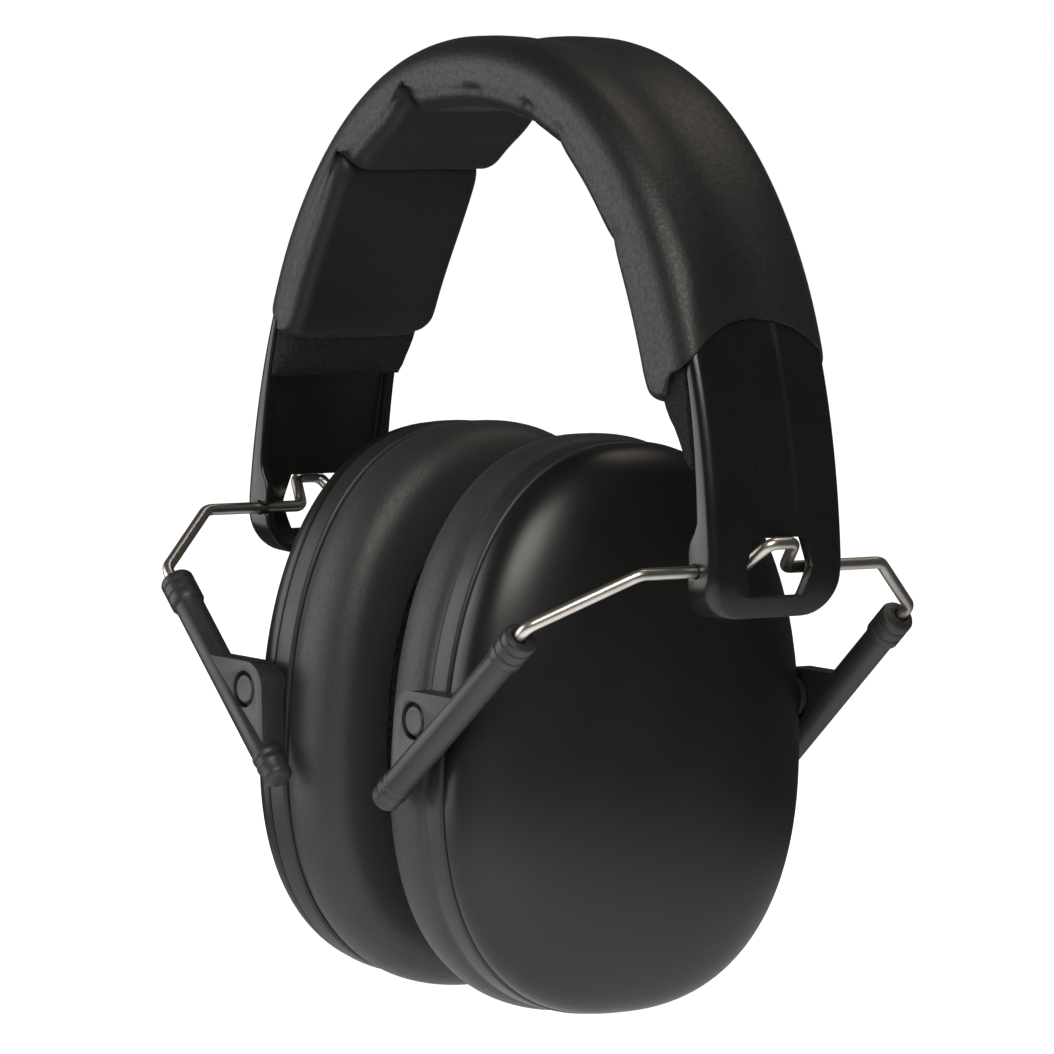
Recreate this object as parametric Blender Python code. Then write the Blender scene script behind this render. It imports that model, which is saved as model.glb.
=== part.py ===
"""Folding hearing protection earmuffs, built as an assembly of separate pieces.

Lengths here are millimetres, and every mesh is made in metres. X runs from ear to ear, Z is up,
and the origin is midway between the cups, on the line that joins their pivots.
The left side is +X. Everything is drawn for the left front and mirrored from there.
"""

import math

import bmesh
import bpy
from mathutils import Vector

MM = 0.001
GAP = 0.3
LEFT, RIGHT = 1, -1
FRONT, REAR = -1, 1

# Headband band, one moulding with a tray-shaped arm at each end
ARCH_HALF_WIDTH = 73.2
ARCH_HEIGHT = 108.7
ARCH_SPRING_Z = 10.1
ARCH_POWER = 2.25
BAND_HALF_WIDTH = 14.8
BAND_THICKNESS = 2.3
BAND_EDGE_ROUND = 2.0
ARM_FOOT_Z = 20.6
ARM_FOOT_ROUND = 7.0
ARM_FOOT_ROLL = 3.0
ARM_DEPTH = 7.2
ARM_WALL = 1.9
ARM_WEB = 2.0
FLANGE_FULL_Z = 33.0
FLANGE_WAIST_Z, FLANGE_WAIST = 38.0, 4.4
FLANGE_END_Z = 72.0
GROOVE_HALF_WIDTH = 4.4
GROOVE_DEPTH = 0.9
GROOVE_FOOT_Z = 36.0
GROOVE_TOP_Z = 84.0
GROOVE_RAMP = 4.0
WINDOW_HALF_WIDTH = 7.4
WINDOW_HALF_TOP = 5.8
WINDOW_HALF_HEIGHT = 5.2
WINDOW_Z = 29.5

# Headband cover and the foam inside it
COVER_PROUD = 1.5
COVER_HALF_WIDTH = 16.6
COVER_WALL = 1.2
PAD_DEPTH = 11.5
PAD_NEAR_SWELL = 4.4
PAD_END_ROUND, PAD_END_ANGLE = 1.4, 5.0
PAD_SWELL_ANGLE = 75.0
CREASE_NEAR, CREASE_FAR = 0.9, 3.6
CREASE_POWER = 3.2
CREASE_ANGLES = (46.8, 67.3, 105.5, 125.3)
PAD_NEAR_ANGLE, PAD_FAR_ANGLE = 26.2, 152.6
SKIN_NEAR_ANGLE, SKIN_FAR_ANGLE = 32.4, 146.4
SKIN_EDGE_DROP = 5.0
COVER_STATIONS = 34
FOAM_HALF_WIDTH = 14.8
FOAM_CLEARANCE = 0.6
FOAM_CORNER = 2.9
FOAM_NEAR_ANGLE, FOAM_FAR_ANGLE = 17.3, 158.2
FOAM_TIP = 1.2

# Wire yoke, flat, in a plane that leans in from the arm to the cup
WIRE_RADIUS = 1.1
YOKE_X = 67.5
YOKE_Z = 28.9
YOKE_LEAN_DEG = 41.0
YOKE_BEND_Y = 26.9
YOKE_LEG_Y = 43.0
YOKE_SPLAY = 14.6
YOKE_LEG_END = 44.2
YOKE_BEND_RADIUS = 3.5
HUMP_HEIGHT = 7.5
HUMP_HALF_BASE = 5.0
HUMP_HALF_TOP = 2.7
HUMP_RADIUS = 1.9
NOTCH_RADIUS = 1.4
NOTCH_MOUTH = 1.9

# Slide tubes with their fins. Each tube opens out a little from its mouth to its tail.
TUBE_RADIUS = 2.75
TUBE_MOUTH = 17.4
TUBE_LENGTH = 50.5
TUBE_MOUTH_Y, TUBE_TAIL_Y = 42.3, 44.1
COLLAR_RADIUS = 3.2
COLLAR_LENGTH = 6.4
BEAD_RADIUS = 3.05
BEAD_WIDTH = 1.0
TUBE_BORE_RADIUS = 1.4
TUBE_BORE_DEPTH = 27.4
LUG_POCKET_RADIUS = 4.4
LUG_POCKET_Y = 42.6
FIN_INNER_Y, FIN_OUTER_Y = 40.6, 45.4
FIN_TOP_Z = 5.2
FIN_INNER_X = 21.2
FIN_CORNER = 5.0
FIN_TAIL_BACK = 5.0

# Pivot rivets
PIVOT_X = 26.7
RIVET_HEAD_RADIUS = 2.7
RIVET_HEAD_THICK = 1.2
RIVET_SHANK_RADIUS = 1.6
RIVET_INNER_Y = 40.9
COUNTERBORE_RADIUS = 3.4

# Ear cups: an oval outline, squarer than an ellipse and narrower at the top
CUP_POWER = 2.36
CUP_TAPER = 0.077
CUP_DROP = -3.8
CUP_SIDES = 36
RING_HALF_Y, RING_HALF_Z = 39.1, 52.0
RING_INNER_X, RING_OUTER_X = 22.0, 27.2
RING_WALL = 3.2
RING_PLATE = 2.0
RING_EDGE = 0.6
EAR_HALF_Y, EAR_HALF_Z = 23.5, 35.0
LUG_RADIUS = 3.9
LUG_OUTER_Y = 42.3
LUG_INNER_Y = 39.5
LUG_NECK_Y = 39.2
LUG_ROOT_Y = 37.7
SHELL_HALF_Y, SHELL_HALF_Z = 38.8, 51.7
SHELL_DEPTH = 15.0
SHELL_POWER = 2.22
SHELL_WALL = 2.2
SHELL_STEPS = 7
LINER_THICKNESS = 5.0
LINER_CLEARANCE = 1.0

# Ear cushions
CUSHION_HALF_Y, CUSHION_HALF_Z = 38.7, 51.7
CUSHION_OPEN_Y, CUSHION_OPEN_Z = 22.5, 34.0
CUSHION_FACE_X = 7.6
CUSHION_BACK_X = 21.6
CUSHION_SKIN = 1.0
SEAT_THICKNESS = 1.6

COLOURS = {
    "band_plastic": ((0.012, 0.012, 0.013), 0.28, 0.0),
    "leatherette": ((0.016, 0.016, 0.017), 0.55, 0.0),
    "foam": ((0.05, 0.05, 0.055), 0.95, 0.0),
    "spring_steel": ((0.62, 0.60, 0.57), 0.28, 1.0),
    "slide_plastic": ((0.020, 0.020, 0.021), 0.50, 0.0),
    "shell_plastic": ((0.014, 0.014, 0.015), 0.36, 0.0),
}


# Shared modelling steps


def material(name):
    """The Principled material of that name, made on first use."""
    found = bpy.data.materials.get(name)
    if found:
        return found
    colour, roughness, metallic = COLOURS[name]
    made = bpy.data.materials.new(name)
    made.use_nodes = True
    shader = made.node_tree.nodes["Principled BSDF"]
    shader.inputs["Base Color"].default_value = (*colour, 1.0)
    shader.inputs["Roughness"].default_value = roughness
    shader.inputs["Metallic"].default_value = metallic
    return made


def loft(rings, cyclic=False):
    """A closed mesh over rings of equal length. Its ends are capped, unless the last ring meets the first."""
    mesh = bmesh.new()
    loops = [[mesh.verts.new(Vector(point) * MM) for point in ring] for ring in rings]
    pairs = list(zip(loops, loops[1:]))
    if cyclic:
        pairs.append((loops[-1], loops[0]))
    for low, high in pairs:
        for k in range(len(low)):
            after = (k + 1) % len(low)
            mesh.faces.new((low[k], low[after], high[after], high[k]))
    if not cyclic:
        mesh.faces.new(loops[0])
        mesh.faces.new(loops[-1])
    bmesh.ops.recalc_face_normals(mesh, faces=mesh.faces)
    return mesh


def mirrored(point, side, end):
    """A point drawn for the left front, moved to the given side and end."""
    return Vector((point[0] * side, point[1] * -end, point[2]))


def add_object(name, mesh, finish, origin, side=LEFT, end=FRONT):
    """One named object, with its origin on its joint and its mesh mirrored to its side and end."""
    for vertex in mesh.verts:
        vertex.co = mirrored(vertex.co, side, end)
    place = mirrored(Vector(origin) * MM, side, end)
    bmesh.ops.translate(mesh, verts=mesh.verts, vec=-place)
    bmesh.ops.recalc_face_normals(mesh, faces=mesh.faces)
    data = bpy.data.meshes.new(name)
    mesh.to_mesh(data)
    mesh.free()
    data.shade_smooth()
    data.set_sharp_from_angle(angle=math.radians(35))
    made = bpy.data.objects.new(name, data)
    made.location = place
    bpy.context.collection.objects.link(made)
    if finish:
        data.materials.append(material(finish))
    return made


def combine(target, mesh, operation, origin, side=LEFT, end=FRONT):
    """Join a tool shape to a piece, or cut it out. The tool stays as a hidden wire object."""
    name = f"{target.name}.tool{len(target.modifiers) + 1}"
    tool = add_object(name, mesh, None, origin, side, end)
    tool.hide_render = True
    tool.display_type = "WIRE"
    step = target.modifiers.new(name, "BOOLEAN")
    step.operation = operation
    step.object = tool


def circle(centre, axis, radius, sides):
    """A ring of points round an axis."""
    along = Vector(axis).normalized()
    across = along.orthogonal().normalized()
    other = along.cross(across)
    turns = [2 * math.pi * k / sides for k in range(sides)]
    return [Vector(centre) + radius * (across * math.cos(a) + other * math.sin(a)) for a in turns]


def rod(start, axis, steps, sides):
    """A turned solid: steps are distances along the axis, each with its radius."""
    along = Vector(axis).normalized()
    return loft([circle(Vector(start) + along * far, along, radius, sides) for far, radius in steps])


def prism_y(outline, low_y, high_y):
    """An outline of (x, z) points, extruded along Y."""
    return loft([[(x, y, z) for x, z in outline] for y in (low_y, high_y)])


# Headband


def arch_frame(angle):
    """The point of the band's outer face at an arch angle, and the outward direction there."""
    share = 2 / ARCH_POWER
    c, s = math.cos(math.radians(angle)), math.sin(math.radians(angle))
    x = ARCH_HALF_WIDTH * math.copysign(abs(c) ** share, c)
    z = ARCH_SPRING_Z + ARCH_HEIGHT * s**share
    out = Vector((math.copysign(abs(c) ** (2 - share), c) / ARCH_HALF_WIDTH, 0, s ** (2 - share) / ARCH_HEIGHT))
    return Vector((x, 0, z)), out.normalized()


def arch_point(angle, y, depth):
    """A point at a depth under the band's outer face."""
    point, out = arch_frame(angle)
    return point - out * depth + Vector((0, y, 0))


def arch_angle(z):
    """The arch angle at which the band's outer face reaches a height."""
    return math.degrees(math.asin(((z - ARCH_SPRING_Z) / ARCH_HEIGHT) ** (ARCH_POWER / 2)))


def flange_depth(z):
    """How deep the arm's side walls are: full round the wire, then shallower, running out under the cover."""
    if z < FLANGE_WAIST_Z:
        share = max((z - FLANGE_FULL_Z) / (FLANGE_WAIST_Z - FLANGE_FULL_Z), 0)
        return ARM_DEPTH + (FLANGE_WAIST - ARM_DEPTH) * share
    share = min((z - FLANGE_WAIST_Z) / (FLANGE_END_Z - FLANGE_WAIST_Z), 1)
    return FLANGE_WAIST + (BAND_THICKNESS - FLANGE_WAIST) * share


def groove_depth(z):
    """The shallow groove down the arm's outer face, which ramps out above the window and under the cover."""
    rise = min(max((z - GROOVE_FOOT_Z) / GROOVE_RAMP, 0), 1)
    fade = min(max((GROOVE_TOP_Z - z) / GROOVE_RAMP, 0), 1)
    return GROOVE_DEPTH * rise * fade


def band_section(depth, half, groove):
    """The band's section as (y, depth) points: rounded outer edges, and the groove between them."""
    r = BAND_EDGE_ROUND
    side = [(half, depth), (half, r), (half - 0.3 * r, 0.3 * r), (half - r, 0)]
    side += [(GROOVE_HALF_WIDTH + 0.7, 0), (GROOVE_HALF_WIDTH, groove)]
    return [(-y, d) for y, d in side] + [(y, d) for y, d in reversed(side)]


def foot_turn(z):
    """How far the arm's foot has rounded off at a height, from 1 at the tip to 0."""
    share = min(max((z - ARM_FOOT_Z) / ARM_FOOT_ROUND, 0), 1)
    return 1 - math.sqrt(1 - (1 - share) ** 2)


def arm_ring(z, section):
    """A ring across the arm or band. The foot draws in from the sides and rolls in from outside."""
    turn = foot_turn(z)
    roll = ARM_FOOT_ROLL * turn**1.5
    return [arch_point(arch_angle(z), y, depth + roll) for y, depth in section]


def arm_heights():
    """Heights of the arm's stations: close together where the foot rounds off."""
    foot = [ARM_FOOT_Z + ARM_FOOT_ROUND * (1 - math.cos(math.radians(turn))) for turn in (0, 24, 46, 68, 90)]
    return foot + [FLANGE_FULL_Z, GROOVE_FOOT_Z, FLANGE_WAIST_Z, 40, 45, 50, 56, 62, 67, FLANGE_END_Z, 76, 80, 84]


def headband_band():
    half = []
    for z in arm_heights():
        width = BAND_HALF_WIDTH - ARM_FOOT_ROUND * 0.9 * foot_turn(z)
        half.append(arm_ring(z, band_section(flange_depth(z), width, groove_depth(z))))
    crown_from = arch_angle(arm_heights()[-1])
    for k in range(1, 7):
        angle = crown_from + (90 - crown_from) * k / 6
        half.append([arch_point(angle, y, d) for y, d in band_section(BAND_THICKNESS, BAND_HALF_WIDTH, 0)])
    far = [[(-p[0], p[1], p[2]) for p in ring] for ring in reversed(half[:-1])]
    band = add_object("headband_band", loft(half + far), "band_plastic", (0, 0, 0))
    for side in (LEFT, RIGHT):
        combine(band, arm_pocket(), "DIFFERENCE", (0, 0, 0), side)
        combine(band, arm_window(), "DIFFERENCE", (0, 0, 0), side)
        for end in (FRONT, REAR):
            combine(band, wire_notch(), "DIFFERENCE", (0, 0, 0), side, end)
    return band


def arm_pocket():
    """The hollow of the tray, open towards the head."""
    rings = []
    heights = [z for z in arm_heights() if z < FLANGE_END_Z]
    for z in heights:
        half = BAND_HALF_WIDTH - ARM_WALL - ARM_FOOT_ROUND * 0.8 * foot_turn(z)
        deep = ARM_DEPTH + 4
        section = [(-half, ARM_WEB), (half, ARM_WEB), (half, deep), (-half, deep)]
        lift = ARM_WALL * (1 - (z - heights[0]) / (heights[-1] - heights[0]))
        rings.append([p + Vector((0, 0, lift)) for p in arm_ring(z, section)])
    return loft(rings)


def arm_window():
    """The six-sided window at the foot of the arm."""
    top = [(WINDOW_HALF_WIDTH, 0), (WINDOW_HALF_TOP, WINDOW_HALF_HEIGHT)]
    top += [(-y, z) for y, z in reversed(top)]
    outline = top + [(-WINDOW_HALF_TOP, -WINDOW_HALF_HEIGHT), (WINDOW_HALF_TOP, -WINDOW_HALF_HEIGHT)]
    inner, outer = ARCH_HALF_WIDTH - ARM_DEPTH - 2, ARCH_HALF_WIDTH + 3
    return loft([[(x, y, z + WINDOW_Z) for y, z in outline] for x in (inner, outer)])


def wire_notch():
    """A round seat with a narrower mouth in the arm's side wall, where the wire snaps in."""
    opening = math.asin(NOTCH_MOUTH / 2 / NOTCH_RADIUS)
    turns = [-math.pi + opening + (2 * math.pi - 2 * opening) * k / 10 for k in range(11)]
    outline = [(YOKE_X + NOTCH_RADIUS * math.cos(a), YOKE_Z + NOTCH_RADIUS * math.sin(a)) for a in turns]
    mouth_x = ARCH_HALF_WIDTH - ARM_DEPTH - 2
    outline += [(mouth_x, YOKE_Z + NOTCH_MOUTH / 2), (mouth_x, YOKE_Z - NOTCH_MOUTH / 2)]
    return prism_y(outline, -BAND_HALF_WIDTH - 1, -BAND_HALF_WIDTH + ARM_WALL + 0.6)


def pad_depth(angle):
    """Depth of the pad's underside: it swells between the creases, which are deep on the far side only."""
    stops = (PAD_NEAR_ANGLE - 6, *CREASE_ANGLES, PAD_FAR_ANGLE + 6)
    full = PAD_DEPTH + PAD_NEAR_SWELL * max(0, 1 - angle / PAD_SWELL_ANGLE)
    past = min(max(1 - min(angle - PAD_NEAR_ANGLE, PAD_FAR_ANGLE - angle) / PAD_END_ANGLE, 0), 1)
    full -= PAD_END_ROUND * past**2
    crease = CREASE_NEAR if angle < 90 else CREASE_FAR
    for low, high in zip(stops, stops[1:]):
        if angle <= high:
            across = abs(2 * (angle - low) / (high - low) - 1)
            return full - crease * min(across, 1) ** CREASE_POWER
    return full - crease


def cover_angle(share, y, skin):
    """The arch angle of a cover point. Its outer skin, where skin is 1, ends higher than the pad, in an arc."""
    drop = SKIN_EDGE_DROP * (y / COVER_HALF_WIDTH) ** 2
    near = PAD_NEAR_ANGLE + (SKIN_NEAR_ANGLE - drop - PAD_NEAR_ANGLE) * skin
    far = PAD_FAR_ANGLE + (SKIN_FAR_ANGLE + drop - PAD_FAR_ANGLE) * skin
    return near + (far - near) * share


def cover_share(station):
    """Even steps along the cover, with a closer one at each end."""
    return min(max((station - 0.5) / (COVER_STATIONS - 2), 0), 1)


def cover_outside(share):
    """The outside of the cover at one station: two low ridges on top, full sides, and the pad below."""
    top = [(0, -0.8), (5, -1.15), (10, -COVER_PROUD), (13.8, -1.1), (15.9, 0.7)]
    points = [cover_place(share, y, d, 1.0) for y, d in top]
    points.append(cover_place(share, COVER_HALF_WIDTH, 3.4, 0.6))
    low = [(COVER_HALF_WIDTH, 3.6), (16.0, 1.6), (13.3, 0.5), (6, 0.1)]
    points += [pad_place(share, y, rise) for y, rise in low]
    return whole_section(points, pad_place(share, 0, 0))


def cover_inside(share):
    """The hollow of the cover, which holds the band and the foam."""
    half = COVER_HALF_WIDTH - COVER_WALL + 0.2
    points = [cover_place(share, 0, -GAP, 1.0), cover_place(share, 8, -GAP, 1.0)]
    points.append(cover_place(share, BAND_HALF_WIDTH - 1.2, -GAP, 1.0))
    points += [cover_place(share, half, 1.4, 0.8), cover_place(share, half, 3.6, 0.5)]
    points += [pad_place(share, y, rise + COVER_WALL) for y, rise in ((half, 3.2), (13.2, 0.6))]
    return whole_section(points, pad_place(share, 0, COVER_WALL))


def cover_place(share, y, depth, skin):
    return arch_point(cover_angle(share, y, skin), y, depth)


def pad_place(share, y, rise):
    """A point of the pad at a rise above its underside."""
    angle = cover_angle(share, y, 0)
    return arch_point(angle, y, pad_depth(angle) - rise)


def whole_section(half, last):
    """A full ring from its +Y half. The first point and the last lie on the middle line."""
    other = [Vector((p.x, -p.y, p.z)) for p in half[1:]]
    return half + [last] + list(reversed(other))


def headband_cover():
    shares = [cover_share(k) for k in range(COVER_STATIONS)]
    outside = [cover_outside(share) for share in shares]
    inside = [cover_inside(share) for share in shares]
    mesh = bmesh.new()
    rows = [[[mesh.verts.new(p * MM) for p in ring] for ring in rings] for rings in (outside, inside)]
    for loops in rows:
        for low, high in zip(loops, loops[1:]):
            bmesh.ops.bridge_loops(mesh, edges=ring_edges(mesh, low) + ring_edges(mesh, high))
    for station in (0, -1):
        edges = ring_edges(mesh, rows[0][station]) + ring_edges(mesh, rows[1][station])
        bmesh.ops.bridge_loops(mesh, edges=edges)
    bmesh.ops.recalc_face_normals(mesh, faces=mesh.faces)
    return add_object("headband_cover", mesh, "leatherette", (0, 0, 0))


def ring_edges(mesh, loop):
    """The edges round a ring of vertices, made where they are missing."""
    edges = []
    for start, stop in zip(loop, loop[1:] + loop[:1]):
        edges.append(mesh.edges.get((start, stop)) or mesh.edges.new((start, stop)))
    return edges


def headband_foam():
    """The foam under the band. It ends outside the cover in a wedge that lies on the arm's side walls."""
    angles = [FOAM_NEAR_ANGLE, PAD_NEAR_ANGLE - 1]
    angles += [cover_angle(cover_share(station), 0, 0) for station in range(COVER_STATIONS)]
    angles += [PAD_FAR_ANGLE + 1, FOAM_FAR_ANGLE]
    return add_object("headband_foam", loft([foam_ring(angle) for angle in angles]), "foam", (0, 0, 0))


def foam_ring(angle):
    """A ring across the foam, from the band's inner face or the arm's walls to the pad's underside."""
    top = flange_depth(arch_frame(angle)[0].z) + FOAM_CLEARANCE
    near = (angle - FOAM_NEAR_ANGLE) / (PAD_NEAR_ANGLE - 1 - FOAM_NEAR_ANGLE)
    far = (FOAM_FAR_ANGLE - angle) / (FOAM_FAR_ANGLE - PAD_FAR_ANGLE - 1)
    full = pad_depth(angle) - COVER_WALL - GAP
    low = top + FOAM_TIP + (full - top - FOAM_TIP) * min(near, far, 1)
    corner = min(FOAM_CORNER, (low - top) / 2)
    points = [(0, top), (FOAM_HALF_WIDTH, top), (FOAM_HALF_WIDTH, low - corner)]
    points += [(FOAM_HALF_WIDTH - 3, low - 0.3 * corner)]
    return whole_section([arch_point(angle, y, d) for y, d in points], arch_point(angle, 0, low))


# Wire yoke and slide tubes


def down_leg():
    """The direction of the left yoke's legs, from the arm to the cup."""
    lean = math.radians(YOKE_LEAN_DEG)
    return Vector((-math.cos(lean), 0, -math.sin(lean)))


def yoke_point(along, y):
    """A point in the yoke's plane: a distance along the legs from the cross bar, and a place across."""
    return Vector((YOKE_X, y, YOKE_Z)) + down_leg() * along


def rounded_path(corners, radii, steps):
    """Straight runs between corners, with an arc in place of each corner."""
    path = [corners[0]]
    for before, corner, after, radius in zip(corners, corners[1:], corners[2:], radii):
        back, on = (before - corner).normalized(), (after - corner).normalized()
        half = back.angle(on) / 2
        middle = corner + (back + on).normalized() * radius / math.sin(half)
        first = (corner + back * radius / math.tan(half) - middle).normalized()
        last = (corner + on * radius / math.tan(half) - middle).normalized()
        for k in range(steps + 1):
            path.append(middle + first.slerp(last, k / steps) * radius)
    return path + [corners[-1]]


def wire_yoke(name, side):
    half = [(YOKE_LEG_END, YOKE_LEG_Y), (YOKE_SPLAY, YOKE_LEG_Y), (0, YOKE_BEND_Y)]
    half += [(0, HUMP_HALF_BASE), (-HUMP_HEIGHT, HUMP_HALF_TOP)]
    corners = [yoke_point(s, -y) for s, y in half] + [yoke_point(s, y) for s, y in reversed(half)]
    bends = [YOKE_BEND_RADIUS, YOKE_BEND_RADIUS, HUMP_RADIUS, HUMP_RADIUS]
    path = rounded_path(corners, bends + bends[::-1], 3)
    origin = mirrored(Vector((YOKE_X, 0, YOKE_Z)) * MM, side, FRONT)
    curve = bpy.data.curves.new(name, "CURVE")
    curve.dimensions = "3D"
    curve.bevel_depth = WIRE_RADIUS * MM
    curve.bevel_resolution = 2
    curve.use_fill_caps = True
    line = curve.splines.new("POLY")
    line.points.add(len(path) - 1)
    for knot, point in zip(line.points, path):
        knot.co = (*(mirrored(point * MM, side, FRONT) - origin), 1)
    curve.materials.append(material("spring_steel"))
    yoke = bpy.data.objects.new(name, curve)
    yoke.location = origin
    bpy.context.collection.objects.link(yoke)
    return yoke


def tube_steps():
    """The slide tube's outside, as distances from its mouth and radii there."""
    steps = [(0, COLLAR_RADIUS - 0.5), (0.5, COLLAR_RADIUS), (COLLAR_LENGTH, COLLAR_RADIUS)]
    steps += [(COLLAR_LENGTH + 0.5, TUBE_RADIUS)]
    for back in (6.2, 4.2):
        start = TUBE_LENGTH - back
        steps += [(start - 0.3, TUBE_RADIUS), (start, BEAD_RADIUS)]
        steps += [(start + BEAD_WIDTH, BEAD_RADIUS), (start + BEAD_WIDTH + 0.3, TUBE_RADIUS)]
    steps += [(TUBE_LENGTH - 1.6, TUBE_RADIUS), (TUBE_LENGTH - 0.6, TUBE_RADIUS * 0.85)]
    return steps + [(TUBE_LENGTH, TUBE_RADIUS * 0.5)]


def fin_outline():
    """The fin's triangle in (x, z): a level top, a steep inner edge, and the tube along its third side."""
    tail = yoke_point(TUBE_MOUTH + TUBE_LENGTH - FIN_TAIL_BACK, 0)
    meets = (FIN_TOP_Z - YOKE_Z) / down_leg().z
    top = yoke_point(meets, 0)
    corner = Vector((FIN_INNER_X, 0, FIN_TOP_Z))
    path = rounded_path([tail, corner, top], [FIN_CORNER], 6)
    return [(p.x, p.z) for p in path]


def slide_tube(name, side, end):
    mouth = yoke_point(TUBE_MOUTH, -TUBE_MOUTH_Y)
    run = yoke_point(TUBE_MOUTH + TUBE_LENGTH, -TUBE_TAIL_Y) - mouth
    tube = add_object(name, rod(mouth, run, tube_steps(), 14), "slide_plastic", mouth, side, end)
    fin = prism_y(fin_outline(), -FIN_OUTER_Y, -FIN_INNER_Y)
    combine(tube, fin, "UNION", mouth, side, end)
    leg = yoke_point(TUBE_MOUTH, -YOKE_LEG_Y)
    bore = rod(leg, down_leg(), [(-1, TUBE_BORE_RADIUS), (TUBE_BORE_DEPTH, TUBE_BORE_RADIUS)], 12)
    combine(tube, bore, "DIFFERENCE", mouth, side, end)
    pocket = rod((PIVOT_X, -LUG_POCKET_Y, 0), (0, 1, 0), [(0, LUG_POCKET_RADIUS), (5, LUG_POCKET_RADIUS)], 20)
    combine(tube, pocket, "DIFFERENCE", mouth, side, end)
    seat_y = FIN_OUTER_Y - RIVET_HEAD_THICK
    hole = [(-1, COUNTERBORE_RADIUS), (FIN_OUTER_Y - seat_y + GAP, COUNTERBORE_RADIUS)]
    hole += [(FIN_OUTER_Y - seat_y + GAP, RIVET_SHANK_RADIUS + GAP)]
    hole += [(FIN_OUTER_Y - LUG_POCKET_Y + 1, RIVET_SHANK_RADIUS + GAP)]
    cutter = rod((PIVOT_X, -FIN_OUTER_Y, 0), (0, 1, 0), hole, 16)
    combine(tube, cutter, "DIFFERENCE", mouth, side, end)
    return tube


def pivot_rivet(name, side, end):
    head_y = FIN_OUTER_Y - 0.1
    steps = [(0, RIVET_HEAD_RADIUS - 0.4), (0.4, RIVET_HEAD_RADIUS), (RIVET_HEAD_THICK, RIVET_HEAD_RADIUS)]
    steps += [(RIVET_HEAD_THICK, RIVET_SHANK_RADIUS), (head_y - RIVET_INNER_Y, RIVET_SHANK_RADIUS)]
    pivot = (PIVOT_X, 0, 0)
    return add_object(name, rod((PIVOT_X, -head_y, 0), (0, 1, 0), steps, 12), "slide_plastic", pivot, side, end)


# Ear cups


def oval(x, half_y, half_z):
    """A ring of the cup's outline at one depth."""
    points = []
    for k in range(CUP_SIDES):
        turn = 2 * math.pi * (k + 0.5) / CUP_SIDES
        c, s = math.cos(turn), math.sin(turn)
        rise = math.copysign(abs(s) ** (2 / CUP_POWER), s)
        y = half_y * math.copysign(abs(c) ** (2 / CUP_POWER), c) * (1 - CUP_TAPER * rise)
        z = half_z * rise
        points.append((x, y, z + CUP_DROP))
    return points


def dome(rim_x, half_y, half_z, depth, steps):
    """Rings of a dome from its rim to near its top."""
    rings = []
    for k in range(steps + 1):
        turn = math.radians(90 * (k / steps) ** 0.85 * 0.985)
        size, rise = math.cos(turn) ** (2 / SHELL_POWER), math.sin(turn) ** (2 / SHELL_POWER)
        rings.append(oval(rim_x + depth * rise, half_y * size, half_z * size))
    return rings


def bowl(rim_x, half_y, half_z, depth, wall, steps):
    """A closed dome-shaped wall."""
    outer = dome(rim_x, half_y, half_z, depth, steps)
    inner = dome(rim_x, half_y - wall, half_z - wall, depth - wall, steps)
    return loft(list(reversed(outer)) + inner)


def pivot_origin():
    return (PIVOT_X, 0, 0)


def cup_shell(name, side):
    mesh = bowl(RING_OUTER_X + GAP, SHELL_HALF_Y, SHELL_HALF_Z, SHELL_DEPTH, SHELL_WALL, SHELL_STEPS)
    return add_object(name, mesh, "shell_plastic", pivot_origin(), side)


def acoustic_foam(name, side):
    inset = SHELL_WALL + LINER_CLEARANCE
    mesh = bowl(RING_OUTER_X + 1.0, SHELL_HALF_Y - inset, SHELL_HALF_Z - inset,
                SHELL_DEPTH - inset, LINER_THICKNESS, 4)
    return add_object(name, mesh, "foam", pivot_origin(), side)


def cup_base_ring(name, side):
    wall_y, wall_z = RING_HALF_Y - RING_WALL, RING_HALF_Z - RING_WALL
    edge = RING_EDGE
    plate_x = RING_INNER_X + RING_PLATE
    section = [
        (RING_INNER_X, RING_HALF_Y - edge, RING_HALF_Z - edge),
        (RING_INNER_X + edge, RING_HALF_Y, RING_HALF_Z),
        (RING_OUTER_X - edge, RING_HALF_Y, RING_HALF_Z),
        (RING_OUTER_X, RING_HALF_Y - edge, RING_HALF_Z - edge),
        (RING_OUTER_X, wall_y, wall_z),
        (plate_x, wall_y, wall_z),
        (plate_x, EAR_HALF_Y, EAR_HALF_Z),
        (RING_INNER_X, EAR_HALF_Y, EAR_HALF_Z),
    ]
    ring = add_object(name, loft([oval(*p) for p in section], cyclic=True), "slide_plastic", pivot_origin(), side)
    for end in (FRONT, REAR):
        combine(ring, pivot_lug(), "UNION", pivot_origin(), side, end)
        bore = [(-1, RIVET_SHANK_RADIUS + GAP), (LUG_OUTER_Y - RIVET_INNER_Y + GAP, RIVET_SHANK_RADIUS + GAP)]
        cutter = rod((PIVOT_X, -LUG_OUTER_Y, 0), (0, 1, 0), bore, 16)
        combine(ring, cutter, "DIFFERENCE", pivot_origin(), side, end)
    return ring


def pivot_lug():
    """A round boss on the ring's side. It overhangs the shell's edge, just clear of it."""
    outer = circle((PIVOT_X, -LUG_OUTER_Y, 0), (0, 1, 0), LUG_RADIUS, 16)
    inner = [(p.x, -LUG_INNER_Y, p.z) for p in outer]
    neck = [(min(p.x, RING_OUTER_X - RING_EDGE), -LUG_NECK_Y, p.z) for p in outer]
    root = [(x, -LUG_ROOT_Y, z) for x, _, z in neck]
    return loft([outer, inner, neck, root])


# Ear cushions


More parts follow.
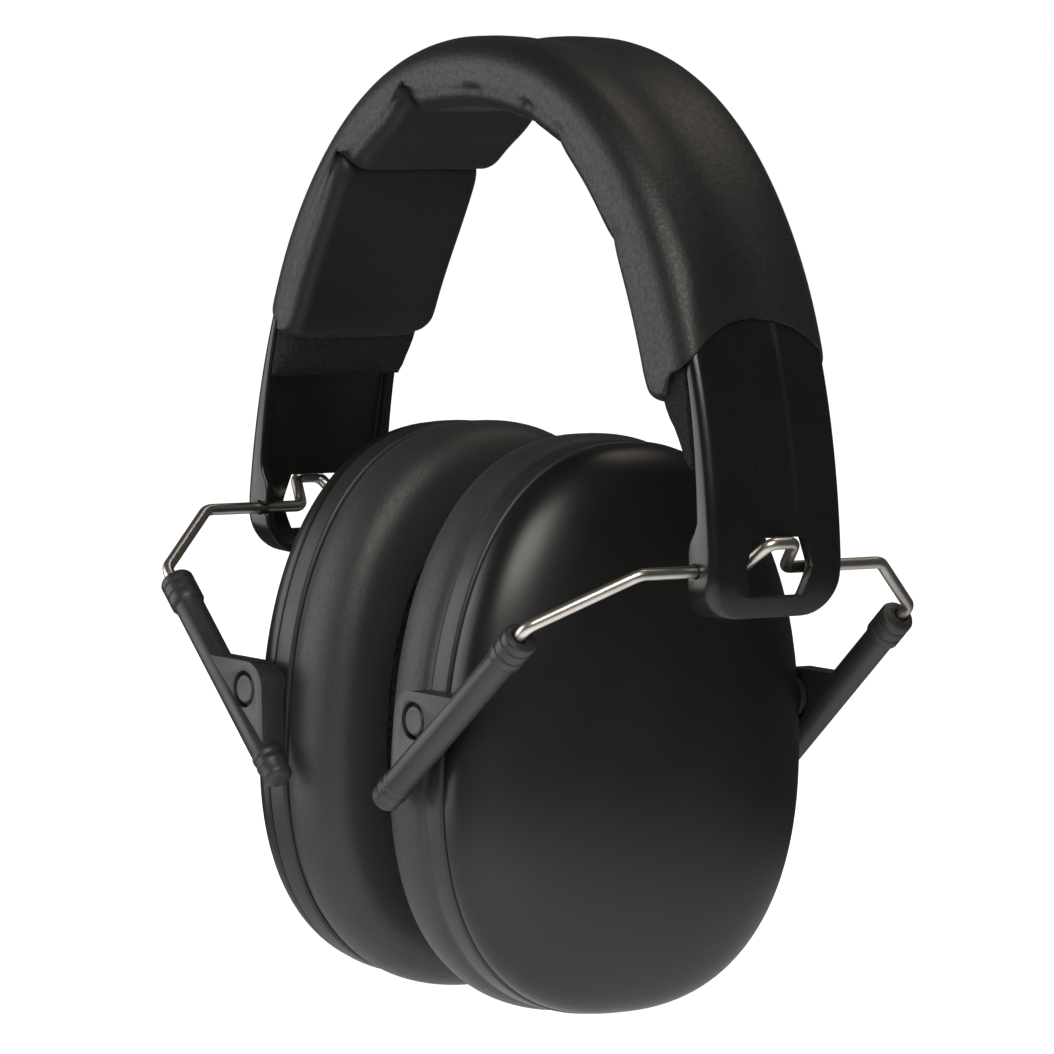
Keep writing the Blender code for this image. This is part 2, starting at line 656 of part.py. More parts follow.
def cushion_ring(x, q):
    """A ring of the cushion: q is 0 at the ear opening and 1 at the outer edge."""
    half_y = CUSHION_OPEN_Y + (CUSHION_HALF_Y - CUSHION_OPEN_Y) * q
    half_z = CUSHION_OPEN_Z + (CUSHION_HALF_Z - CUSHION_OPEN_Z) * q
    return oval(x, half_y, half_z)


def cushion_profile():
    """The cushion's skin in section: drawn in at the seat, full at the side, crowned on the face."""
    side = [(CUSHION_BACK_X, 0.985), (19.8, 1.025), (16.8, 1.05), (13.6, 1.04), (10.8, 0.98), (9.0, 0.89)]
    face = [(7.9, 0.77), (CUSHION_FACE_X, 0.62), (7.8, 0.45), (8.6, 0.28)]
    inside = [(10.2, 0.13), (12.8, 0.04), (16.2, 0.0), (19.6, 0.03)]
    return side + face + inside


def cushion_lining():
    """The inside of the skin, back from the ear opening to the seat."""
    thick = CUSHION_SKIN / (CUSHION_HALF_Y - CUSHION_OPEN_Y)
    inside = [(19.6, 0.03 + thick), (15.0, 0.02 + thick), (11.2, 0.11 + thick)]
    face = [(CUSHION_FACE_X + CUSHION_SKIN + 0.2, 0.40), (CUSHION_FACE_X + CUSHION_SKIN + 0.2, 0.74)]
    side = [(11.6, 0.98 - thick), (16.2, 1.045 - thick), (CUSHION_BACK_X, 0.985 - thick)]
    return inside + face + side


def cushion_skin(name, side):
    section = cushion_profile() + cushion_lining()
    mesh = loft([cushion_ring(x, q) for x, q in section], cyclic=True)
    return add_object(name, mesh, "leatherette", pivot_origin(), side)


def cushion_foam(name, side):
    thick = (CUSHION_SKIN + GAP + 0.2) / (CUSHION_HALF_Y - CUSHION_OPEN_Y)
    seat_x = CUSHION_BACK_X - SEAT_THICKNESS - GAP
    face_x = CUSHION_FACE_X + CUSHION_SKIN + 0.6
    section = [(seat_x, 0.04 + thick), (15.0, 0.03 + thick), (11.8, 0.12 + thick), (face_x, 0.42)]
    section += [(face_x, 0.72), (12.0, 0.96 - thick), (16.2, 1.03 - thick), (seat_x, 0.99 - thick)]
    mesh = loft([cushion_ring(x, q) for x, q in section], cyclic=True)
    return add_object(name, mesh, "foam", pivot_origin(), side)


def cushion_seat(name, side):
    thick = (CUSHION_SKIN + GAP) / (CUSHION_HALF_Y - CUSHION_OPEN_Y)
    front, back = CUSHION_BACK_X - SEAT_THICKNESS, CUSHION_BACK_X
    section = [(front, 0.02), (back, 0.02), (back, 0.97 - thick), (front, 0.985 - thick)]
    mesh = loft([cushion_ring(x, q) for x, q in section], cyclic=True)
    return add_object(name, mesh, "slide_plastic", pivot_origin(), side)


def build():
    for old in list(bpy.data.objects):
        bpy.data.objects.remove(old, do_unlink=True)
    headband_band()
    headband_foam()
    headband_cover()
    for word, side in (("left", LEFT), ("right", RIGHT)):
        wire_yoke(f"{word}_wire_yoke", side)
        for place, end in (("front", FRONT), ("rear", REAR)):
            slide_tube(f"{word}_{place}_slide_tube", side, end)
            pivot_rivet(f"{word}_{place}_pivot_rivet", side, end)
        cup_shell(f"{word}_cup_shell", side)
        acoustic_foam(f"{word}_acoustic_foam", side)
        cup_base_ring(f"{word}_cup_base_ring", side)
        cushion_seat(f"{word}_cushion_seat", side)
        cushion_foam(f"{word}_cushion_foam", side)
        cushion_skin(f"{word}_cushion_skin", side)


build()
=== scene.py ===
import math

import bmesh
import bpy
from mathutils import Matrix, Vector, noise


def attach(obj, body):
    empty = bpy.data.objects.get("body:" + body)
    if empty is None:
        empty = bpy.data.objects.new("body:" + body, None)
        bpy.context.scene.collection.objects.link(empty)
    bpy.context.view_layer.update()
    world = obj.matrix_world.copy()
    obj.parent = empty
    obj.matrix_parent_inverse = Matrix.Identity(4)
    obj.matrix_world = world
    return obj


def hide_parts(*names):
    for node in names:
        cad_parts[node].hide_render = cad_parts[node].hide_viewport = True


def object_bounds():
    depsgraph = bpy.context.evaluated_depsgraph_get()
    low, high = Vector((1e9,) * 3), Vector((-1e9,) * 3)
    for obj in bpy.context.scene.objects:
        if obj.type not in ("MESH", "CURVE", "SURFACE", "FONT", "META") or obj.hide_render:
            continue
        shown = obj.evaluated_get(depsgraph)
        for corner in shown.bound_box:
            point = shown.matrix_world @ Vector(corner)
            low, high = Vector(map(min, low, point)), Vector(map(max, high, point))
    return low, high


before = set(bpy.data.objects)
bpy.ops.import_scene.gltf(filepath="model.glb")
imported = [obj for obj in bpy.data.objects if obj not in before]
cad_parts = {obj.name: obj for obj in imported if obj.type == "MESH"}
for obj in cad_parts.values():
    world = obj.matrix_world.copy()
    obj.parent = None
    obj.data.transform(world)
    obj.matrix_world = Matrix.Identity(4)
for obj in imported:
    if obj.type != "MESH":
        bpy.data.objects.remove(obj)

cad_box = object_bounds()

# Headband band: one springy nylon moulding, an arch that ends in a shallow tray on each side.
# Each tray has a window for the wire's hump and two notches that the wire snaps into.
MM = 0.001
LEFT, RIGHT = 1, -1
FRONT, REAR = -1, 1
SIDES = (("left", LEFT), ("right", RIGHT))
ENDS = (("front", FRONT), ("rear", REAR))

ARCH_HALF_WIDTH = 73.2
ARCH_HEIGHT = 108.7
ARCH_SPRING_Z = 10.1
ARCH_POWER = 2.25
BAND_HALF_WIDTH = 14.8
BAND_THICKNESS = 2.3
BAND_EDGE_ROUND = 2.0
ARM_FOOT_Z = 20.6
ARM_FOOT_ROUND, ARM_FOOT_NARROWING = 7.0, 6.3
ARM_FOOT_ROLL, ARM_FOOT_ROLL_HEIGHT = 3.0, 11.0
ARM_TOP_Z = 96.0
ARM_DEPTH = 7.2
ARM_WALL = 1.9
ARM_WEB = 2.0
ARM_LIP_ROUND, TRAY_FILLET = 0.45, 0.6
TRAY_STEP, STATION_GAP, FOOT_DIP, LEAST_LIP = 0.5, 0.2, 0.02, 0.05
FOOT_STATIONS, ARM_STATIONS, CROWN_STATIONS = 9, 40, 14
FLANGE_FULL_Z, FLANGE_WAIST_Z, FLANGE_END_Z = 33.0, 38.0, 72.0
FLANGE_WAIST = 4.4
GROOVE_HALF_WIDTH, GROOVE_DEPTH = 4.4, 0.4
GROOVE_WALL = ((-1.2, 1.0), (-0.5, 0.97), (-0.3, 0.85), (0.3, 0.15), (0.5, 0.03), (1.2, 0.0))
GROOVE_FOOT_Z, GROOVE_TOP_Z, GROOVE_RAMP = 36.0, 84.0, 4.0
WINDOW_HALF_WIDTH, WINDOW_HALF_TOP, WINDOW_HALF_HEIGHT, WINDOW_Z = 7.4, 5.8, 5.2, 29.5
YOKE_X, YOKE_Z = 67.5, 28.9
NOTCH_RADIUS, NOTCH_MOUTH = 1.4, 1.9
NOTCH_PAST_FACE, NOTCH_PAST_WALL = 1.0, 0.6
CUT_MARGIN = 3.0
EDGE_BEVEL = 0.3


def arch_point(angle, y, depth):
    """A point at a depth under the band's outer face, at an angle round the arch."""
    share = 2 / ARCH_POWER
    c, s = math.cos(math.radians(angle)), math.sin(math.radians(angle))
    x = ARCH_HALF_WIDTH * math.copysign(abs(c) ** share, c)
    z = ARCH_SPRING_Z + ARCH_HEIGHT * s**share
    across = math.copysign(abs(c) ** (2 - share), c) / ARCH_HALF_WIDTH
    out = Vector((across, 0, s ** (2 - share) / ARCH_HEIGHT)).normalized()
    return Vector((x, y, z)) - out * depth


def arch_angle(z):
    """The angle at which the band's outer face reaches a height."""
    return math.degrees(math.asin(((z - ARCH_SPRING_Z) / ARCH_HEIGHT) ** (ARCH_POWER / 2)))


def clamp(value, low=0.0, high=1.0):
    return min(max(value, low), high)


def smooth(value):
    """An ease from 0 to 1."""
    share = clamp(value)
    return share * share * (3 - 2 * share)


def arc(centre, radius, start, stop, steps):
    """Points on an arc, from one angle to another in degrees."""
    turns = [math.radians(start + (stop - start) * k / steps) for k in range(steps + 1)]
    return [(centre[0] + radius * math.cos(t), centre[1] + radius * math.sin(t)) for t in turns]


def skin(name, rings, joined=False):
    """A smooth mesh over rings of points in millimetres. Its ends are capped, or joined to each other."""
    mesh = bmesh.new()
    loops = [[mesh.verts.new(Vector(point) * MM) for point in ring] for ring in rings]
    pairs = list(zip(loops, loops[1:]))
    if joined:
        pairs.append((loops[-1], loops[0]))
    for low, high in pairs:
        for k in range(len(low)):
            after = (k + 1) % len(low)
            mesh.faces.new((low[k], low[after], high[after], high[k]))
    if not joined:
        mesh.faces.new(loops[0])
        mesh.faces.new(loops[-1])
    return as_piece(name, mesh)


def as_piece(name, mesh):
    """The mesh as a smooth-shaded object in the scene."""
    bmesh.ops.recalc_face_normals(mesh, faces=mesh.faces)
    data = bpy.data.meshes.new(name)
    mesh.to_mesh(data)
    mesh.free()
    data.shade_smooth()
    piece = bpy.data.objects.new(name, data)
    bpy.context.scene.collection.objects.link(piece)
    return piece


def settle(piece, crease=40):
    """Apply the modifiers of a piece, and keep its hard edges hard."""
    seen = piece.evaluated_get(bpy.context.evaluated_depsgraph_get())
    shaped = bpy.data.meshes.new_from_object(seen)
    piece.modifiers.clear()
    piece.data = shaped
    piece.data.shade_smooth()
    piece.data.set_sharp_from_angle(angle=math.radians(crease))


def cut(piece, tools, operation="DIFFERENCE"):
    """Cut the tools out of a piece, or join them to it, and take them away."""
    for tool in tools:
        step = piece.modifiers.new(tool.name, "BOOLEAN")
        step.operation = operation
        step.object = tool
    settle(piece)
    for tool in tools:
        bpy.data.objects.remove(tool)


def soften(piece, width, angle=35):
    """Round the hard edges of a moulding a little."""
    step = piece.modifiers.new("edge", "BEVEL")
    step.width = width * MM
    step.segments = 2
    step.limit_method = "ANGLE"
    step.angle_limit = math.radians(angle)
    settle(piece)


def on_side(points, side, end=FRONT):
    """Points drawn for the left front, moved to another side and end."""
    return [Vector((p[0] * side, p[1] * -end, p[2])) for p in points]


def foot_turn(z):
    """How far the arm's foot has rounded off at a height, from 1 at the tip to 0."""
    share = clamp((z - ARM_FOOT_Z) / ARM_FOOT_ROUND)
    return 1 - math.sqrt(1 - (1 - share) ** 2)


def flange_depth(z):
    """How deep the arm's side walls are: full round the wire, then running out under the cover."""
    if z < FLANGE_WAIST_Z:
        share = smooth((z - FLANGE_FULL_Z) / (FLANGE_WAIST_Z - FLANGE_FULL_Z))
        return ARM_DEPTH + (FLANGE_WAIST - ARM_DEPTH) * share
    share = clamp((z - FLANGE_WAIST_Z) / (FLANGE_END_Z - FLANGE_WAIST_Z))
    return FLANGE_WAIST + (BAND_THICKNESS - FLANGE_WAIST) * share


def arm_half_section(width, lip, web, groove):
    """Half of the arm's section as (y, depth), from the middle of its face to the middle of its tray."""
    r, e = BAND_EDGE_ROUND, ARM_LIP_ROUND
    wall = [(GROOVE_HALF_WIDTH + step, groove * share) for step, share in GROOVE_WALL]
    half = [(0, groove), *wall, ((wall[-1][0] + width - r) / 2, 0)]
    half += arc((width - r, r), r, -90, 0, 6)
    half += arc((width - e, lip - e), e, 0, 90, 3)
    inner = width - ARM_WALL
    half += arc((inner + e, lip - e), e, 90, 180, 3)
    fillet = min(TRAY_FILLET, (lip - web) / 2)
    half += arc((inner - fillet, web + fillet), fillet, 0, -90, 3)
    return half + [(inner / 2, web), (0, web)]


def mirrored(half):
    """A whole section from half of one, as (y, depth)."""
    return half + [(-y, d) for y, d in reversed(half[1:-1])]


def arm_ring(z, web_share):
    """A ring across the arm at a height. web_share is 0 in the tray and 1 where the foot is solid."""
    turn = foot_turn(z)
    width = BAND_HALF_WIDTH - ARM_FOOT_NARROWING * turn
    lip = flange_depth(z)
    web = ARM_WEB + (lip - FOOT_DIP - ARM_WEB) * web_share
    rise = smooth((z - GROOVE_FOOT_Z) / GROOVE_RAMP) * smooth((GROOVE_TOP_Z - z) / GROOVE_RAMP)
    half = arm_half_section(width, max(lip, ARM_WEB + LEAST_LIP), web, GROOVE_DEPTH * rise)
    roll = ARM_FOOT_ROLL * clamp(1 - (z - ARM_FOOT_Z) / ARM_FOOT_ROLL_HEIGHT) ** 2
    return [arch_point(arch_angle(z), y, d + roll) for y, d in mirrored(half)]


def band_rings():
    """The band's rings from the left foot over the crown to the right foot."""
    foot_turns = [90 * k / FOOT_STATIONS for k in range(FOOT_STATIONS + 1)]
    heights = [ARM_FOOT_Z + ARM_FOOT_ROUND * (1 - math.cos(math.radians(t))) for t in foot_turns]
    tray_floor = ARM_FOOT_Z + ARM_WALL
    rings = [arm_ring(z, 1.0) for z in heights if z < tray_floor]
    rings += [arm_ring(tray_floor, 1.0), arm_ring(tray_floor + TRAY_STEP, 0.0)]
    rings += [arm_ring(z, 0.0) for z in heights if z > tray_floor + TRAY_STEP + STATION_GAP]
    foot_top, arm_top = heights[-1], arch_angle(ARM_TOP_Z)
    arm_shares = [k / ARM_STATIONS for k in range(1, ARM_STATIONS + 1)]
    rings += [arm_ring(foot_top + (ARM_TOP_Z - foot_top) * share, 0.0) for share in arm_shares]
    crown_angles = [arm_top + (90 - arm_top) * k / CROWN_STATIONS for k in range(1, CROWN_STATIONS + 1)]
    crown = mirrored(arm_half_section(BAND_HALF_WIDTH, BAND_THICKNESS, ARM_WEB, 0))
    rings += [[arch_point(angle, y, d) for y, d in crown] for angle in crown_angles]
    far = [[Vector((-p.x, p.y, p.z)) for p in ring] for ring in reversed(rings[:-1])]
    return rings + far


def window_tool(side):
    """The six-sided window at the foot of the arm."""
    top = [(WINDOW_HALF_WIDTH, 0), (WINDOW_HALF_TOP, WINDOW_HALF_HEIGHT)]
    top += [(-y, z) for y, z in reversed(top)]
    outline = top + [(-WINDOW_HALF_TOP, -WINDOW_HALF_HEIGHT), (WINDOW_HALF_TOP, -WINDOW_HALF_HEIGHT)]
    depths = (ARCH_HALF_WIDTH - ARM_DEPTH - CUT_MARGIN, ARCH_HALF_WIDTH + CUT_MARGIN)
    rings = [on_side([(x, y, z + WINDOW_Z) for y, z in outline], side) for x in depths]
    return skin(f"window_tool{side}", rings)


def notch_tool(side, end):
    """A round seat with a narrower mouth in the arm's side wall."""
    opening = math.degrees(math.asin(NOTCH_MOUTH / 2 / NOTCH_RADIUS))
    outline = arc((YOKE_X, YOKE_Z), NOTCH_RADIUS, -180 + opening, 180 - opening, 18)
    mouth_x = ARCH_HALF_WIDTH - ARM_DEPTH - CUT_MARGIN
    outline += [(mouth_x, YOKE_Z + NOTCH_MOUTH / 2), (mouth_x, YOKE_Z - NOTCH_MOUTH / 2)]
    across = (-BAND_HALF_WIDTH - NOTCH_PAST_FACE, -BAND_HALF_WIDTH + ARM_WALL + NOTCH_PAST_WALL)
    rings = [on_side([(x, y, z) for x, z in outline], side, end) for y in across]
    return skin(f"notch_tool{side}{end}", rings)


def moulded_black(name, shade, gloss, grain_mm, grain_depth, sheen_spread=0.06):
    """A black moulding: faintly cloudy in colour and gloss, with the fine spark grain of its mould."""
    made = bpy.data.materials.new(name)
    made.use_nodes = True
    nodes, links = made.node_tree.nodes, made.node_tree.links
    shader = nodes["Principled BSDF"]
    shader.inputs["IOR"].default_value = 1.5
    place = nodes.new("ShaderNodeTexCoord")
    cloud = nodes.new("ShaderNodeTexNoise")
    cloud.inputs["Scale"].default_value = 70
    cloud.inputs["Detail"].default_value = 5
    links.new(place.outputs["Object"], cloud.inputs["Vector"])
    tint = nodes.new("ShaderNodeMix")
    tint.data_type = "RGBA"
    tint.inputs["A"].default_value = (shade * 0.8, shade * 0.8, shade * 0.82, 1)
    tint.inputs["B"].default_value = (shade * 1.25, shade * 1.24, shade * 1.22, 1)
    links.new(cloud.outputs["Fac"], tint.inputs["Factor"])
    links.new(tint.outputs["Result"], shader.inputs["Base Color"])
    grain = nodes.new("ShaderNodeTexNoise")
    grain.inputs["Scale"].default_value = 1 / (grain_mm * MM)
    grain.inputs["Detail"].default_value = 3
    links.new(place.outputs["Object"], grain.inputs["Vector"])
    dull = nodes.new("ShaderNodeMapRange")
    dull.inputs["From Min"].default_value = 0.3
    dull.inputs["From Max"].default_value = 0.7
    dull.inputs["To Min"].default_value = gloss - sheen_spread
    dull.inputs["To Max"].default_value = gloss + sheen_spread
    links.new(cloud.outputs["Fac"], dull.inputs["Value"])
    links.new(dull.outputs["Result"], shader.inputs["Roughness"])
    bump = nodes.new("ShaderNodeBump")
    bump.inputs["Strength"].default_value = 0.6
    bump.inputs["Distance"].default_value = grain_depth * MM
    links.new(grain.outputs["Fac"], bump.inputs["Height"])
    links.new(bump.outputs["Normal"], shader.inputs["Normal"])
    return made


def dress(piece, finish, slot, body, *nodes):
    """Give a piece its finish and body, and let it stand for its CAD nodes. The slot is not used."""
    piece.data.materials.clear()
    piece.data.materials.append(finish)
    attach(piece, body)
    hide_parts(*nodes)


nylon_black = moulded_black("nylon_black", shade=0.006, gloss=0.27, grain_mm=0.35, grain_depth=0.012)
band = skin("headband_moulding", band_rings())
cut(band, [window_tool(side) for _, side in SIDES])
cut(band, [notch_tool(side, end) for _, side in SIDES for _, end in ENDS])
soften(band, EDGE_BEVEL)
dress(band, nylon_black, "band_plastic", "headband", "headband_band")

# Headband cover: a snug sleeve of black leatherette that is pulled over the band.
# Foam fills its underside, and the skin folds across the pad where the arch bends most.
COVER_HALF_WIDTH = 16.6
COVER_WALL = 1.2
COVER_ROUND, PAD_ROUND = 6.3, 3.2
COVER_FLAT, COVER_BLEND = 9.0, 6.0
SIDE_TOP = 4.8
SIDE_SWELL, SIDE_STEPS = 0.2, 16
TOP_RIDGES = ((0, -0.6), (2.2, -0.72), (4.4, -1.1), (6.6, -1.42), (8.6, -1.5))
PAD_LINES = (11, 8, 5.5, 3, 0)
PAD_DEPTH, PAD_NEAR_SWELL, PAD_SWELL_ANGLE = 11.6, 4.6, 75.0
PAD_END_ROUND, PAD_END_ANGLE, SWELL_PAST_END = 1.4, 4.5, 6.0
PAD_NEAR_ANGLE, PAD_FAR_ANGLE = 24.9, 152.8
SKIN_NEAR_ANGLE, SKIN_FAR_ANGLE = 32.4, 146.4
SKIN_EDGE_DROP = 5.0
CORNER_NEAR, CORNER_FAR_FRONT, CORNER_FAR_REAR = 0.7, 0.5, 2.2
HEM_ROUND, HEM_SIDE_ROUND, HEM_DEG = 2.1, 0.2, 1.5
END_TAPER, END_TAPER_DEG = 0.15, 9.0
END_THIN = 0.5
CREASE_ANGLES = (46.8, 67.3, 105.5, 125.3)
CREASE_NEAR, CREASE_FAR = 0.7, 3.6
NEAR_POWER, FAR_LIP_POWER, FAR_RISE_POWER = 3.2, 9.0, 2.4
FOLD_NEAR, FOLD_FAR, FOLD_DEG = 0.15, 1.3, 0.6
PUCKER_NEAR, PUCKER_FAR, PUCKER_DEG = 0.2, 1.2, 2.0
PUCKER_TOP = 0.3
TUCKS = ((102.4, 2.0), (102.0, 12.0))
TUCK_DEPTH, TUCK_DEG, TUCK_WIDTH = 0.9, 1.7, 1.4
DIMPLE_ANGLES, DIMPLE_DEPTH, DIMPLE_DEG = (89.5, 76.5), 0.6, 1.5
DIMPLE_SHARE, DIMPLE_SPREAD = 1.0, 0.3
COVER_STATIONS = 200
HEM_STATIONS, HEM_STEPS_PER_LENGTH = 10, 1000
CREASE_STATIONS, CREASE_STEPS_PER_DEG = 12, 7


def bell(distance, spread):
    """1 at no distance, falling smoothly to 0."""
    return math.exp(-((distance / spread) ** 2))


def crease_pull(angle, near, far, spread):
    """How strongly the creases pull at an angle, with a strength for each side of the arch."""
    return max((near if crease < 90 else far) * bell(angle - crease, spread) for crease in CREASE_ANGLES)


def pad_depth(angle):
    """Depth of the pad's underside. On the far side each swell overhangs the next one down in a lip."""
    stops = (PAD_NEAR_ANGLE - SWELL_PAST_END, *CREASE_ANGLES, PAD_FAR_ANGLE + SWELL_PAST_END)
    depth = PAD_DEPTH + PAD_NEAR_SWELL * max(0, 1 - angle / PAD_SWELL_ANGLE)
    past = clamp(1 - min(angle - PAD_NEAR_ANGLE, PAD_FAR_ANGLE - angle) / PAD_END_ANGLE)
    depth -= PAD_END_ROUND * past**2
    for low, high in zip(stops, stops[1:]):
        if low <= angle < high:
            across = 2 * (angle - low) / (high - low) - 1
            far_power = FAR_LIP_POWER if across > 0 else FAR_RISE_POWER
            if angle < 90:
                depth -= CREASE_NEAR * abs(across) ** NEAR_POWER
            else:
                depth -= CREASE_FAR * abs(across) ** far_power
    return depth - crease_pull(angle, FOLD_NEAR, FOLD_FAR, FOLD_DEG)


def cover_angle(share, y, top):
    """The arch angle of a cover point. The outer skin, where top is 1, ends in an arc above the pad."""
    drop = SKIN_EDGE_DROP * (y / COVER_HALF_WIDTH) ** 2
    corner = clamp((abs(y) - COVER_FLAT) / (COVER_HALF_WIDTH - COVER_FLAT)) ** 2
    near = PAD_NEAR_ANGLE + CORNER_NEAR * corner
    far = PAD_FAR_ANGLE - (CORNER_FAR_REAR if y > 0 else CORNER_FAR_FRONT) * corner
    near += (SKIN_NEAR_ANGLE - drop - near) * top
    far += (SKIN_FAR_ANGLE + drop - far) * top
    return near + (far - near) * share


def cover_half_section(inset):
    """Half of the sleeve's section, from the middle of its top to the middle of its underside.

    Each point is (y, depth under the band's face, rise above the pad, share of the way down the side).
    """
    half, r, low = COVER_HALF_WIDTH - inset, COVER_ROUND - inset, PAD_ROUND - inset
    points = [(y, d + inset, 0, 0) for y, d in TOP_RIDGES]
    points += [(y, d, 0, 0) for y, d in arc((half - r, SIDE_TOP), r, -80, 0, 10)]
    points += [(half, SIDE_TOP, PAD_ROUND, k / SIDE_STEPS) for k in range(1, SIDE_STEPS)]
    points += [(y, 0, PAD_ROUND - d, 1) for y, d in arc((half - low, 0), low, 0, 84, 9)]
    return points + [(y, 0, inset, 1) for y in PAD_LINES]


def cover_point(share, spot):
    """One point of the cover, with its puckers, its tucks and the dimples in its front side."""
    y, depth, rise, down = spot
    angle = cover_angle(share, y, 1 - smooth(down))
    inward = min(share, 1 - share) * (PAD_FAR_ANGLE - PAD_NEAR_ANGLE)
    hem = clamp(1 - inward / HEM_DEG)
    turn_in = 1 - math.sqrt(1 - hem * hem)
    full = smooth(inward / END_TAPER_DEG)
    if depth < 0:
        depth *= 1 - END_THIN * (1 - full)
    low = pad_depth(angle) - rise - HEM_ROUND * turn_in
    deep = depth + (low - depth) * down
    for tuck_angle, tuck_y in TUCKS:
        tuck = bell(angle - tuck_angle, TUCK_DEG) * bell(y - tuck_y, TUCK_WIDTH)
        deep -= TUCK_DEPTH * tuck * smooth(down)
    out = SIDE_SWELL * math.sin(math.pi * down)
    out = out * full - END_TAPER * (1 - full) - HEM_SIDE_ROUND * turn_in
    pucker = crease_pull(angle, PUCKER_NEAR, PUCKER_FAR, PUCKER_DEG)
    out -= pucker * smooth((down - PUCKER_TOP) / (1 - PUCKER_TOP))
    if y < 0:
        dimple = max(bell(angle - dimple_angle, DIMPLE_DEG) for dimple_angle in DIMPLE_ANGLES)
        out -= DIMPLE_DEPTH * dimple * bell(down - DIMPLE_SHARE, DIMPLE_SPREAD)
    wide = y + math.copysign(1, y) * out * smooth((abs(y) - COVER_FLAT) / COVER_BLEND)
    return arch_point(angle, wide, deep)


def cover_ring(share, inset):
    """A ring round the cover at a share of its length, on its outside or inset to its lining."""
    half = cover_half_section(inset)
    full = half + [(-y, d, r, t) for y, d, r, t in reversed(half[1:-1])]
    return [cover_point(share, spot) for spot in full]


def cover_shares():
    """Stations along the cover: even, with close ones at the hems and at the creases."""
    shares = {k / COVER_STATIONS for k in range(COVER_STATIONS + 1)}
    for hem, inward in ((0, 1), (1, -1)):
        shares |= {hem + inward * k / HEM_STEPS_PER_LENGTH for k in range(1, HEM_STATIONS + 1)}
    span = PAD_FAR_ANGLE - PAD_NEAR_ANGLE
    steps = range(-CREASE_STATIONS, CREASE_STATIONS + 1)
    for crease in CREASE_ANGLES:
        shares |= {(crease + k / CREASE_STEPS_PER_DEG - PAD_NEAR_ANGLE) / span for k in steps}
    return sorted(shares)


def cover_rings():
    """Rings along the outside, round the hem at the far end, and back along the lining."""
    shares = cover_shares()
    outside = [cover_ring(share, 0) for share in shares]
    lining = [cover_ring(share, COVER_WALL) for share in reversed(shares)]
    return outside + lining


def leatherette(name, shade, gloss, pebble_mm, pebble_depth):
    """Black leatherette: pebbled grain with fine pores, a little uneven in colour and sheen."""
    made = bpy.data.materials.new(name)
    made.use_nodes = True
    nodes, links = made.node_tree.nodes, made.node_tree.links
    shader = nodes["Principled BSDF"]
    shader.inputs["IOR"].default_value = 1.48
    shader.inputs["Sheen Weight"].default_value = 0.03
    shader.inputs["Sheen Roughness"].default_value = 0.4
    place = nodes.new("ShaderNodeTexCoord")
    warp = nodes.new("ShaderNodeTexNoise")
    warp.inputs["Scale"].default_value = 55
    warp.inputs["Detail"].default_value = 4
    links.new(place.outputs["Object"], warp.inputs["Vector"])
    tint = nodes.new("ShaderNodeMix")
    tint.data_type = "RGBA"
    tint.inputs["A"].default_value = (shade * 0.75, shade * 0.75, shade * 0.74, 1)
    tint.inputs["B"].default_value = (shade * 1.3, shade * 1.3, shade * 1.28, 1)
    links.new(warp.outputs["Fac"], tint.inputs["Factor"])
    links.new(tint.outputs["Result"], shader.inputs["Base Color"])
    pebble = nodes.new("ShaderNodeTexVoronoi")
    pebble.feature = "SMOOTH_F1"
    pebble.inputs["Scale"].default_value = 1 / (pebble_mm * MM)
    pebble.inputs["Smoothness"].default_value = 0.5
    links.new(place.outputs["Object"], pebble.inputs["Vector"])
    pores = nodes.new("ShaderNodeTexNoise")
    pores.inputs["Scale"].default_value = 4 / (pebble_mm * MM)
    pores.inputs["Detail"].default_value = 2
    links.new(place.outputs["Object"], pores.inputs["Vector"])
    height = nodes.new("ShaderNodeMath")
    height.operation = "MULTIPLY_ADD"
    height.inputs[1].default_value = -0.75
    links.new(pebble.outputs["Distance"], height.inputs[0])
    links.new(pores.outputs["Fac"], height.inputs[2])
    dull = nodes.new("ShaderNodeMapRange")
    dull.inputs["To Min"].default_value = gloss - 0.07
    dull.inputs["To Max"].default_value = gloss + 0.09
    links.new(pebble.outputs["Distance"], dull.inputs["Value"])
    links.new(dull.outputs["Result"], shader.inputs["Roughness"])
    bump = nodes.new("ShaderNodeBump")
    bump.inputs["Strength"].default_value = 0.55
    bump.inputs["Distance"].default_value = pebble_depth * MM
    links.new(height.outputs["Value"], bump.inputs["Height"])
    links.new(bump.outputs["Normal"], shader.inputs["Normal"])
    return made


cover_leather = leatherette("cover_leatherette", shade=0.009, gloss=0.44, pebble_mm=0.9, pebble_depth=0.09)
cover = skin("padded_cover", cover_rings(), joined=True)
dress(cover, cover_leather, "leatherette", "headband", "headband_cover")

# Headband foam: a strip of soft open-cell foam between the band and the sleeve's underside.
# It comes out of both ends of the sleeve in a wedge that lies on the arm's side walls.
FOAM_HALF_WIDTH = 14.8
FOAM_CLEARANCE, FOAM_SKIN_GAP = 0.6, 0.3
FOAM_NEAR_ANGLE, FOAM_FAR_ANGLE = 17.3, 158.2
FOAM_TIP, FOAM_CORNER = 1.3, 2.9
TIP_START, TIP_RISE = 0.2, 5.0
WEDGE_POWER, WEDGE_FULL_DEG = 0.85, 1.0
FOAM_EDGE_WIDTH, FOAM_EDGE_DROP = 1.0, 0.3
FOAM_LINES = (8, 4, 0)
FOAM_STATIONS = 120


